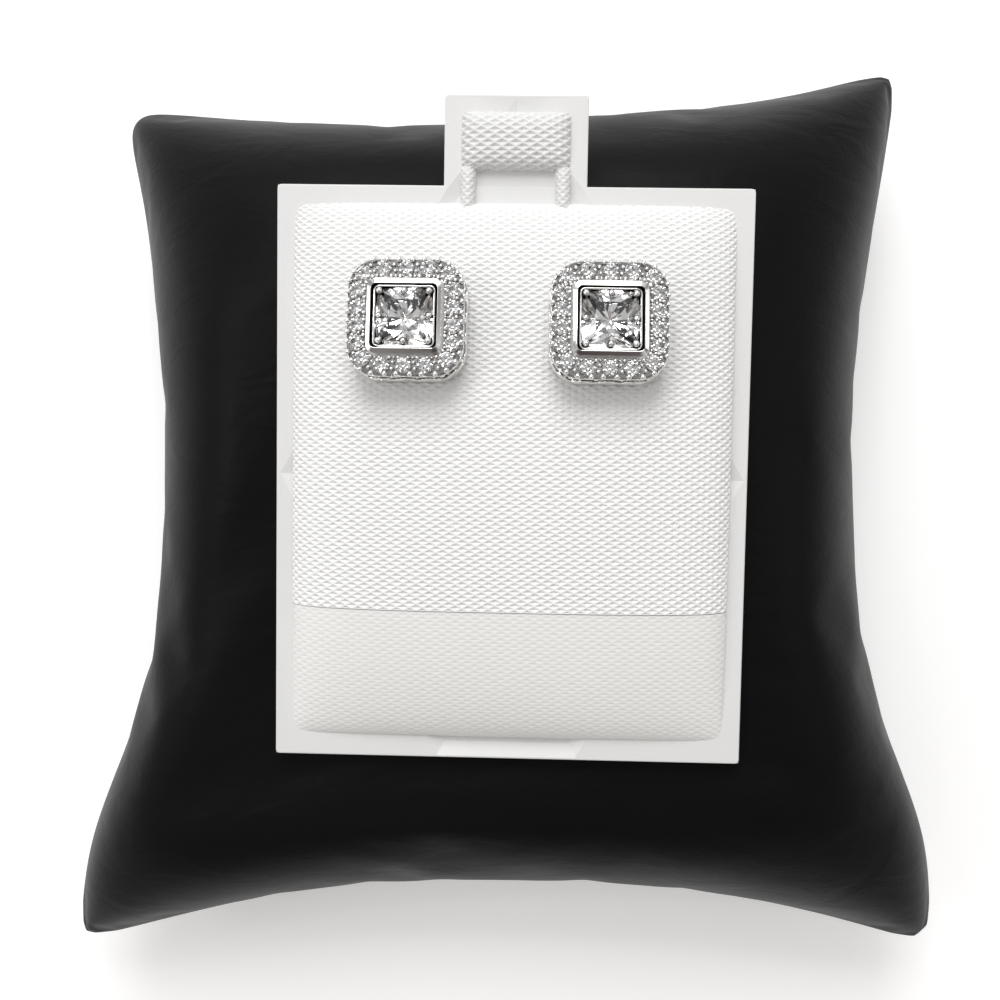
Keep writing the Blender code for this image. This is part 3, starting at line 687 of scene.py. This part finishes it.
def round_block(name, half, corner, low, high, segments):
    """A square block with round corners"""
    deselect()
    bpy.ops.mesh.primitive_cube_add(size=2)
    block = bpy.context.object
    block.name = name
    edit(block)
    bpy.ops.transform.resize(value=(half, half, (high - low) / 2))
    bpy.ops.transform.translate(value=(0, 0, (high + low) / 2))
    slack = half / 100
    choose(block, "EDGE", lambda m, e: abs(abs(m.x) - half) < slack and abs(abs(m.y) - half) < slack)
    bpy.ops.mesh.bevel(offset=corner, segments=segments, affect="EDGES")
    return block


def top_face(block, height):
    """Selects the face that looks up at the given height"""
    choose(block, "FACE", lambda m, f: abs(m.z - height) < 0.001 * MM and f.normal.z > 0.9)


def round_edges(obj, width, segments):
    """Rounds every edge that turns by more than 40 degrees"""
    leave()
    bevel = obj.modifiers.new("round", "BEVEL")
    bevel.width = width
    bevel.segments = segments
    bevel.limit_method = "ANGLE"
    bevel.angle_limit = math.radians(40)
    pick(obj)
    bpy.ops.object.modifier_apply(modifier=bevel.name)


def cup(name, half, corner, wall, low, top, floor, rounding, segments):
    """A square cup with round corners: a wall that stands on a floor"""
    piece = round_block(name, half, corner, low, top, segments)
    top_face(piece, top)
    bpy.ops.mesh.inset(thickness=wall)
    bpy.ops.mesh.extrude_region_move(TRANSFORM_OT_translate={"value": (0, 0, floor - top)})
    round_edges(piece, rounding, 3)
    shade(piece, 40)
    return piece


def copies_at(piece, places, name):
    """Copies of one small piece at many places, joined as one; the first piece goes"""
    made = []
    for place in places:
        copy = piece.copy()
        copy.data = piece.data.copy()
        copy.data.transform(Matrix.Translation(place))
        bpy.context.collection.objects.link(copy)
        made.append(copy)
    bpy.data.objects.remove(piece)
    pick(*made)
    bpy.ops.object.join()
    joined = bpy.context.object
    joined.name = name
    return joined


def beads(name, places, radius, stem=0.0, segments=14):
    """Round beads, each on a stem of the given length, joined as one piece"""
    deselect()
    bpy.ops.mesh.primitive_uv_sphere_add(segments=segments, ring_count=segments * 2 // 3, radius=radius)
    bead = bpy.context.object
    shade(bead)
    if stem:
        bpy.ops.mesh.primitive_cylinder_add(
            vertices=segments, radius=radius * 0.72, depth=stem, location=(0, 0, -stem / 2)
        )
        shank = bpy.context.object
        shade(shank, 40)
        pick(bead, shank)
        bpy.ops.object.join()
        bpy.ops.object.transform_apply()
    return copies_at(bpy.context.object, places, name)


def gallery_wire(name, half, corner, height, radius, wave):
    """A wire bent round the halo's wall, in shallow arcs from stone to stone"""
    curve = bpy.data.curves.new(name, "CURVE")
    curve.dimensions = "3D"
    curve.bevel_depth = radius
    curve.bevel_resolution = 2
    spline = curve.splines.new("POLY")
    count = sum(STEPS) * WIRE_POINTS
    spline.points.add(count - 1)
    spline.use_cyclic_u = True
    for index in range(count):
        quarter, along = divmod(index * 4 / count, 1)
        arc = abs(math.sin(math.pi * (along - 0.5) * STEPS[int(quarter)]))
        point = halo_path(half, corner, (index / count) - 0.125)
        spline.points[index].co = (point.x, point.y, height - wave * arc, 1)
    wire = bpy.data.objects.new(name, curve)
    bpy.context.collection.objects.link(wire)
    pick(wire)
    bpy.ops.object.convert(target="MESH")
    wire = bpy.context.object
    shade(wire)
    return wire


def make_halo_body():
    """The halo's block: stone seats in its face, pockets round its wall and a hollow middle"""
    deck = HALO_TOP - DECK_DROP
    body = round_block("halo_body", BODY_HALF, BODY_CORNER, BODY_FOOT, deck, 6)
    for cut in POCKET_LINES_X:
        bpy.ops.mesh.select_all(action="SELECT")
        bpy.ops.mesh.bisect(plane_co=(cut, 0, 0), plane_no=(1, 0, 0))
    for cut in POCKET_LINES_Y:
        bpy.ops.mesh.select_all(action="SELECT")
        bpy.ops.mesh.bisect(plane_co=(0, cut, 0), plane_no=(0, 1, 0))
    choose(body, "FACE", lambda m, f: abs(f.normal.z) < 0.1)
    bpy.ops.mesh.inset(thickness=0.09 * MM, depth=0, use_individual=True)
    bpy.ops.mesh.inset(thickness=0.05 * MM, depth=-0.22 * MM, use_individual=True)
    leave()
    edit(body)
    choose(body, "FACE", lambda m, f: m.z > deck - 0.001 * MM)
    bpy.ops.mesh.dissolve_faces()
    bpy.ops.mesh.inset(thickness=BODY_HALF - COLLAR_HALF + 0.1 * MM)
    bpy.ops.mesh.extrude_region_move(TRANSFORM_OT_translate={"value": (0, 0, BODY_FOOT + 0.04 * MM - deck)})
    leave()
    seats = []
    for place in halo_row(STONE_LINE, STONE_CORNER, (0,), HALO_TOP - 0.3 * MM):
        deselect()
        bpy.ops.mesh.primitive_cone_add(
            vertices=20, radius1=HALO_STONE_HALF * 0.35, radius2=HALO_STONE_HALF * 1.1,
            depth=SEAT_DEPTH, location=place,
        )
        seats.append(bpy.context.object)
    for group in (seats[0::2], seats[1::2]):
        pick(*group)
        bpy.ops.object.join()
        cutter = bpy.context.object
        bpy.ops.object.transform_apply()
        drill = body.modifiers.new("seats", "BOOLEAN")
        drill.operation = "DIFFERENCE"
        drill.solver = "EXACT"
        drill.object = cutter
        pick(body)
        bpy.ops.object.modifier_apply(modifier=drill.name)
        bpy.data.objects.remove(cutter)
    shade(body, 30)
    return body


def make_foot():
    """The solid back of the gallery, and the post"""
    half = BODY_HALF - GALLERY_INSET
    inner = round_block("gallery_wall", half, BODY_CORNER - GALLERY_INSET, GALLERY_FOOT, GALLERY_TOP, 6)
    leave()
    shade(inner, 40)
    deselect()
    post_top = BACK_PLATE / 2
    bpy.ops.mesh.primitive_cylinder_add(
        vertices=24, radius=POST_HALF, depth=post_top - POST_END, location=(0, 0, (POST_END + post_top) / 2)
    )
    post = bpy.context.object
    post.name = "post"
    bpy.ops.object.transform_apply()
    edit(post)
    round_edges(post, 0.12 * MM, 3)
    shade(post, 40)
    return [inner, post]


def make_collets():
    """A thin bright ring round each halo stone's girdle"""
    deselect()
    bpy.ops.mesh.primitive_torus_add(
        major_radius=HALO_STONE_HALF + 0.02 * MM, minor_radius=0.06 * MM, major_segments=24, minor_segments=8
    )
    ring = bpy.context.object
    shade(ring)
    return copies_at(ring, halo_row(STONE_LINE, STONE_CORNER, (0,), HALO_TOP - 0.06 * MM), "collets")


def make_collar():
    """The polished collar: its face slopes down outwards, and its inner wall drops into the moat"""
    shoulder = COLLAR_TOP - COLLAR_SLOPE
    piece = round_block("collar", COLLAR_HALF, COLLAR_CORNER, BACK_PLATE, shoulder, 12)
    top_face(piece, shoulder)
    wall = COLLAR_HALF - COLLAR_INSIDE
    bpy.ops.mesh.inset(thickness=wall * 0.85, depth=COLLAR_SLOPE)
    bpy.ops.mesh.inset(thickness=wall * 0.15, depth=0)
    bpy.ops.mesh.extrude_region_move(TRANSFORM_OT_translate={"value": (0, 0, 1.1 * MM - COLLAR_TOP)})
    # The bars above and below the stone are the wider ones
    reach = COLLAR_INSIDE + wall / 4
    choose(piece, "VERT", lambda p, v: max(abs(p.x), abs(p.y)) < reach and p.z > 1.05 * MM)
    bpy.ops.transform.resize(value=(1, COLLAR_SQUEEZE, 1), center_override=(0, 0, 0))
    round_edges(piece, 0.02 * MM, 2)
    shade(piece, 10)
    return piece


def make_prongs():
    """Eight bead prongs that hold the centre stone: one at each corner and in the middle of each side"""
    places = [
        Vector((across * PRONG_LINE, along * PRONG_LINE, PRONG_HEIGHT))
        for across in (-1, 0, 1)
        for along in (-1, 0, 1)
        if across or along
    ]
    tips = beads("prongs", places, PRONG_RADIUS, segments=20)
    stems = []
    for place in places:
        outward = Vector((place.x, place.y, 0)).normalized()
        foot = place + outward * 0.12 * MM - Vector((0, 0, 0.25 * MM))
        deselect()
        bpy.ops.mesh.primitive_cylinder_add(vertices=14, radius=0.17 * MM, depth=0.5 * MM, location=foot)
        stems.append(bpy.context.object)
    pick(*stems)
    bpy.ops.object.join()
    bpy.ops.object.transform_apply()
    stem = bpy.context.object
    shade(stem, 40)
    return [tips, stem]


def mark_painted_shade(metal):
    """Marks the painted shade on the metal: dark in the moat, at the beads' feet, under the prongs and in the
    wall's pockets
    """
    points = read_points(metal)
    reach = np.abs(points[:, :2]).max(axis=1)
    height = points[:, 2]
    past_flat = np.clip(np.abs(points[:, :2]) - (BODY_HALF - BODY_CORNER), 0, None)
    depth = BODY_CORNER - np.hypot(past_flat[:, 0], past_flat[:, 1])
    in_moat = (reach > BASKET_HALF - 0.02 * MM) & (reach < COLLAR_INSIDE + 0.02 * MM) & (height < HALO_TOP)
    on_face = (reach > COLLAR_HALF + 0.01 * MM) & (height > HALO_TOP - 0.3 * MM)
    on_wall = (reach > COLLAR_HALF + 0.5 * MM) & (height < HALO_TOP - 0.3 * MM) & (depth > 0.16 * MM)
    on_prong = reach < PRONG_LINE + PRONG_RADIUS + 0.01 * MM
    round_foot = 0.6 * np.clip((HALO_TOP + 0.2 * MM - height) / (0.16 * MM), 0, 1)
    under_prong = np.clip((PRONG_HEIGHT + 0.2 * MM - height) / (0.2 * MM), 0, 1)
    # Painted shade: full in the moat, darker lower down on the prongs and at the beads' feet, and 0.85 in the
    # wall's pockets
    cases = [in_moat, on_prong, on_face, on_wall]
    painted_shade = np.select(cases, [1.0, under_prong, round_foot, 0.85], 0.0)
    marks = metal.data.attributes.new("painted_shade", "FLOAT", "POINT")
    marks.data.foreach_set("value", painted_shade)


def make_setting():
    """All the metal of one earring, in its own frame"""
    pieces = [make_halo_body()]
    pieces += make_foot()
    pieces += [make_collar(), make_collets()]
    pieces.append(
        cup(
            "basket", BASKET_HALF, corner=BASKET_CORNER, wall=BASKET_WALL, low=BACK_PLATE + 0.1 * MM,
            top=BASKET_TOP, floor=1.15 * MM, rounding=0.05 * MM, segments=6,
        )
    )
    pieces += make_prongs()
    # Beads, from the halo's outer edge to the collar: name, line, corner, offsets, raise, radius
    outer = HALO_HALF - BEAD_INSET
    outer_corner = HALO_CORNER - BEAD_INSET
    inner = STONE_LINE - HALO_STONE_HALF + 0.04 * MM
    inner_corner = STONE_CORNER - HALO_STONE_HALF + 0.04 * MM
    rows = [
        ("edge_beads", outer, outer_corner, (0.27, 0.73), 0.04, 0.24),
        ("gap_beads_out", STONE_LINE + 0.3 * MM, STONE_CORNER + 0.3 * MM, (0.5,), 0.02, 0.18),
        ("gap_beads_in", STONE_LINE - 0.22 * MM, STONE_CORNER - 0.22 * MM, (0.5,), 0.02, 0.16),
        ("inner_beads", inner, inner_corner, (0.26, 0.74), 0.05, 0.18),
        ("inner_mid_beads", inner, inner_corner, (0.5,), 0.0, 0.15),
    ]
    for name, line, corner, offsets, lift, radius in rows:
        row = halo_row(line, corner, offsets, HALO_TOP + lift * MM)
        pieces.append(beads(name, row, radius * MM, stem=BEAD_STEM))
    # Wires of the gallery, from the top: name, distance past the wall, height, radius, depth of its arcs
    wires = [
        ("scallop_wire", 0.03, 2.75, 0.1, 0.3),
        ("arch_wire", 0.06, 1.35, 0.12, 0.6),
        ("foot_wire", 0.04, 0.42, 0.14, 0.0),
    ]
    for name, past, height, radius, wave in wires:
        half = BODY_HALF + past * MM
        corner = BODY_CORNER + past * MM
        pieces.append(gallery_wire(name, half, corner, height * MM, radius * MM, wave * MM))
    wall_row = halo_row(BODY_HALF + 0.02 * MM, BODY_CORNER, (0.5,), HALO_TOP - 0.95 * MM)
    pieces.append(beads("wall_beads", wall_row, 0.17 * MM))
    pick(*pieces)
    bpy.ops.object.join()
    metal = bpy.context.object
    bpy.ops.object.transform_apply()
    # Marks where shade is painted into the metal's colour
    mark_painted_shade(metal)
    return metal


def place_copies(piece, names):
    """One copy of a piece for each earring, each with its own mesh, set in its place"""
    copies = []
    for name, x in zip(names, STUD_X):
        copy = piece.copy()
        copy.data = piece.data.copy()
        copy.name = name
        bpy.context.collection.objects.link(copy)
        copy.data.transform(stud_place(x))
        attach(copy, "root")
        copies.append(copy)
    bpy.data.objects.remove(piece)
    return copies


def make_polish_group():
    """Faint rubbing marks of polished metal, as a height and a roughness"""
    group = new_group(
        "polish",
        [("Vector", "NodeSocketVector", None), ("Scale", "NodeSocketFloat", 1500.0)],
        [("Height", "NodeSocketFloat"), ("Wear", "NodeSocketFloat")],
    )
    source = group.nodes.new("NodeGroupInput")
    sink = group.nodes.new("NodeGroupOutput")
    marks = add_node(
        group, "TexNoise",
        {"Vector": source.outputs["Vector"], "Scale": source.outputs["Scale"], "Detail": 2.0},
    )
    group.links.new(marks.outputs["Fac"], sink.inputs["Height"])
    wear = add_node(group, "MapRange", {"Value": marks.outputs["Fac"], "From Min": 0.35, "From Max": 0.65})
    group.links.new(wear.outputs[0], sink.inputs["Wear"])
    return group


polish_group = make_polish_group()


def polished(name, color, roughness):
    """A bright metal, painted near black as shade where the piece's points are marked for it"""
    material = bpy.data.materials.new(name)
    material.use_nodes = True
    tree = material.node_tree
    shader = tree.nodes["Principled BSDF"]
    shader.inputs["Metallic"].default_value = 1.0
    place = add_node(tree, "TexCoord")
    group = add_node(tree, "Group", node_tree=polish_group)
    tree.links.new(place.outputs["Object"], group.inputs["Vector"])
    rough = add_node(
        tree, "MapRange", {"Value": group.outputs["Wear"], "To Min": roughness[0], "To Max": roughness[1]}
    )
    marks = add_node(
        tree, "Bump", {"Height": group.outputs["Height"], "Strength": 0.05, "Distance": 0.01 * MM}
    )
    # Painted shade: the marked points are coloured near black
    painted_shade = add_node(tree, "Attribute", attribute_name="painted_shade")
    color_mix = add_node(tree, "Mix", {"Factor": painted_shade.outputs["Fac"]}, data_type="RGBA")
    color_mix.inputs["A"].default_value = (*color, 1)
    color_mix.inputs["B"].default_value = (0.03, 0.027, 0.025, 1)
    tree.links.new(color_mix.outputs["Result"], shader.inputs["Base Color"])
    tree.links.new(rough.outputs[0], shader.inputs["Roughness"])
    tree.links.new(marks.outputs[0], shader.inputs["Normal"])
    return material


silver = polished("bright_silver", (0.95, 0.945, 0.935), (0.05, 0.1))
setting = make_setting()
dress(setting, silver)
for copy, side in zip(place_copies(setting, ("left_metal", "right_metal")), ("left", "right")):
    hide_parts(side + "_setting")
    dress(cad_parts[side + "_clutch"], silver)


# Stones
# Clear cut stones: a square one in each basket and 18 small round ones in each halo.
# Each has a table, stars, mains and girdle facets above, and mains with long halves below.
def cut_stone(name, reach, crown, pavilion, girdle, table, halves):
    """A brilliant: reach(angle) is the girdle's outline, and its upper edge lies at height 0"""
    eighth = math.pi / 4
    points = []

    def ring(share, count, offset, height):
        first = len(points)
        for k in range(count):
            angle = (k + offset) * 2 * math.pi / count
            out = reach(angle) * share
            points.append((out * math.cos(angle), out * math.sin(angle), height))
        return [first + k for k in range(count)]

    star = (1 + table) / 2
    star_height = crown * (1 - star * math.cos(eighth / 2)) / (1 - table)
    half_height = -girdle - pavilion * (1 - halves * math.cos(eighth / 2))
    tables = ring(table, 8, 0, crown)
    stars = ring(star, 8, 0.5, star_height)
    upper = ring(1, 16, 0, 0)
    lower = ring(1, 16, 0, -girdle)
    belly = ring(halves, 8, 0.5, half_height)
    points.append((0, 0, -girdle - pavilion))
    culet = len(points) - 1
    faces = [tables]
    for k in range(8):
        after = (k + 1) % 8
        tip, middle, next_tip = upper[2 * k], upper[2 * k + 1], upper[(2 * k + 2) % 16]
        low_tip, low_middle, low_next = lower[2 * k], lower[2 * k + 1], lower[(2 * k + 2) % 16]
        faces += [
            (tables[k], stars[k], tables[after]),
            (tables[k], stars[k - 1], tip),
            (tables[k], tip, stars[k]),
            (stars[k], tip, middle),
            (stars[k], middle, next_tip),
            (tip, low_tip, low_middle, middle),
            (middle, low_middle, low_next, next_tip),
            (belly[k], low_middle, low_tip),
            (belly[k], low_next, low_middle),
            (culet, belly[k], low_tip),
            (culet, low_tip, belly[k - 1]),
        ]
    mesh = bpy.data.meshes.new(name)
    mesh.from_pydata(points, [], faces)
    stone = bpy.data.objects.new(name, mesh)
    bpy.context.collection.objects.link(stone)
    edit(stone)
    bpy.ops.mesh.normals_make_consistent(inside=False)
    leave()
    return stone


def square_reach(angle):
    """The outline of a square stone with small cut corners"""
    across = abs(math.cos(angle))
    along = abs(math.sin(angle))
    corner = (2 * CENTRE_STONE_HALF - CENTRE_CUT_CORNER) / (across + along)
    return min(CENTRE_STONE_HALF / max(across, along), corner)


def crystal_finish(name, ior):
    """Clear stone with a very faint cool cloud in its tint"""
    material = bpy.data.materials.new(name)
    material.use_nodes = True
    tree = material.node_tree
    shader = tree.nodes["Principled BSDF"]
    shader.inputs["Roughness"].default_value = 0.04
    shader.inputs["Transmission Weight"].default_value = 1.0
    shader.inputs["IOR"].default_value = ior
    place = add_node(tree, "TexCoord")
    cloud = add_node(tree, "TexNoise", {"Vector": place.outputs["Object"], "Scale": 300.0})
    tint = add_node(tree, "Mix", {"Factor": cloud.outputs["Fac"]}, data_type="RGBA")
    tint.inputs["A"].default_value = (1.0, 1.0, 1.0, 1)
    tint.inputs["B"].default_value = (0.97, 0.98, 1.0, 1)
    tree.links.new(tint.outputs["Result"], shader.inputs["Base Color"])
    return material


crystal = crystal_finish("crystal", 2.15)
centre = cut_stone(
    "centre_stone", square_reach, crown=0.3 * CENTRE_STONE_HALF, pavilion=0.84 * CENTRE_STONE_HALF,
    girdle=0.02 * MM, table=0.56, halves=0.24,
)
centre.data.transform(Matrix.Translation((0, 0, HALO_TOP)))
dress(centre, crystal)
for copy, side in zip(place_copies(centre, ("left_centre", "right_centre")), ("left", "right")):
    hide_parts(side + "_centre_stone")

small = []
for place in halo_row(STONE_LINE, STONE_CORNER, (0,), HALO_TOP + 0.02 * MM):
    stone = cut_stone(
        "small", lambda angle: HALO_STONE_HALF, crown=0.32 * HALO_STONE_HALF, pavilion=0.84 * HALO_STONE_HALF,
        girdle=0.02 * MM, table=0.55, halves=0.25,
    )
    spin = math.atan2(place.y, place.x)
    stone.data.transform(Matrix.Translation(place) @ Matrix.Rotation(spin, 4, "Z"))
    small.append(stone)
pick(*small)
bpy.ops.object.join()
halo_stones = bpy.context.object
dress(halo_stones, crystal)
stone_sets = place_copies(halo_stones, ("left_halo_stones", "right_halo_stones"))
for copy, side in zip(stone_sets, ("left", "right")):
    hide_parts(*[f"{side}_halo_stone_{number:02d}" for number in range(1, 19)])


# Floor and light
# A plain pale floor and soft studio light: strongest from the top of the picture, dim from the picture's
# foot and dark where the camera stands, so that the polished metal has bright and dark sides.
deselect()
bpy.ops.mesh.primitive_plane_add(size=3)
floor = bpy.context.object
floor.name = "floor"
floor_finish = bpy.data.materials.new("pale_floor")
floor_finish.use_nodes = True
floor_shader = floor_finish.node_tree.nodes["Principled BSDF"]
floor_shader.inputs["Base Color"].default_value = (0.93, 0.93, 0.93, 1)
floor_shader.inputs["Roughness"].default_value = 0.9
floor_shader.inputs["Emission Color"].default_value = (1, 1, 1, 1)
floor_shader.inputs["Emission Strength"].default_value = 0.22
floor.data.materials.append(floor_finish)

ZENITH = (0.56, 0.56, 0.56, 1)
CAMERA_SIDE = (0.07, 0.06, 0.055, 1)
FAR_SIDE = (0.8, 0.8, 0.8, 1)
NEAR_SIDE = (0.25, 0.225, 0.205, 1)
LOW_BAND = (0.42, 0.41, 0.4, 1)
BACKDROP = (0.92, 0.92, 0.92, 1)
world = bpy.data.worlds.new("studio")
bpy.context.scene.world = world
world.use_nodes = True
sky = world.node_tree
way = add_node(sky, "TexCoord")
parts = add_node(sky, "SeparateXYZ", {0: way.outputs["Generated"]})
along = add_node(sky, "MapRange", {"Value": parts.outputs["Y"], "From Min": -0.8, "From Max": 0.8})
ring = add_node(sky, "Mix", {"Factor": along.outputs[0]}, data_type="RGBA")
ring.inputs["A"].default_value = NEAR_SIDE
ring.inputs["B"].default_value = FAR_SIDE
screens = add_node(sky, "TexNoise", {"Vector": way.outputs["Generated"], "Scale": 2.6, "Detail": 1.0})
gaps = add_node(
    sky, "MapRange",
    {"Value": screens.outputs["Fac"], "From Min": 0.43, "From Max": 0.57, "To Min": 0.4, "To Max": 1.6},
)
lit = add_node(sky, "VectorMath", {0: ring.outputs["Result"], "Scale": gaps.outputs[0]}, operation="SCALE")
low = add_node(sky, "MapRange", {"Value": parts.outputs["Z"], "From Min": 0.42, "From Max": 0.2})
walls = add_node(sky, "Mix", {"Factor": low.outputs[0]}, data_type="RGBA")
sky.links.new(lit.outputs["Vector"], walls.inputs["A"])
walls.inputs["B"].default_value = LOW_BAND
lift = add_node(sky, "MapRange", {"Value": parts.outputs["Z"], "From Min": 0.86, "From Max": 0.97})
near = add_node(sky, "MapRange", {"Value": parts.outputs["Y"], "From Min": -0.17, "From Max": -0.05})
top = add_node(sky, "Mix", {"Factor": near.outputs[0]}, data_type="RGBA")
top.inputs["A"].default_value = CAMERA_SIDE
top.inputs["B"].default_value = ZENITH
dome = add_node(sky, "Mix", {"Factor": lift.outputs[0]}, data_type="RGBA")
sky.links.new(walls.outputs["Result"], dome.inputs["A"])
sky.links.new(top.outputs["Result"], dome.inputs["B"])
# The screens light the earrings but are out of the picture: behind the floor there is a plain backdrop
seen = add_node(sky, "LightPath")
view = add_node(sky, "Mix", {"Factor": seen.outputs["Is Camera Ray"]}, data_type="RGBA")
sky.links.new(dome.outputs["Result"], view.inputs["A"])
view.inputs["B"].default_value = BACKDROP
sky.links.new(view.outputs["Result"], sky.nodes["Background"].inputs["Color"])


def area_light(name, place, size, glow):
    """A square soft light aimed at the card, given the brightness of its face"""
    light = bpy.data.objects.new(name, bpy.data.lights.new(name, "AREA"))
    light.data.size = size
    light.data.energy = glow * math.pi * size**2
    light.location = place
    light.rotation_euler = (Vector((0, 0, 0.03)) - Vector(place)).to_track_quat("-Z", "Y").to_euler()
    bpy.context.collection.objects.link(light)


area_light("key", (-0.03, 0.33, 0.37), 0.26, 6.9)
area_light("left_fill", (-0.36, 0.04, 0.38), 0.2, 3.0)
area_light("right_fill", (0.38, 0.06, 0.36), 0.16, 0.9)
GLINTS = ((-0.2, 0.12), (0.16, 0.2), (0.27, -0.1), (-0.14, -0.24))
for number, (x, y) in enumerate(GLINTS, 1):
    area_light(f"glint_{number}", (x, y, 0.38), 0.024, 25.0)
bpy.context.scene.view_settings.view_transform = "Standard"
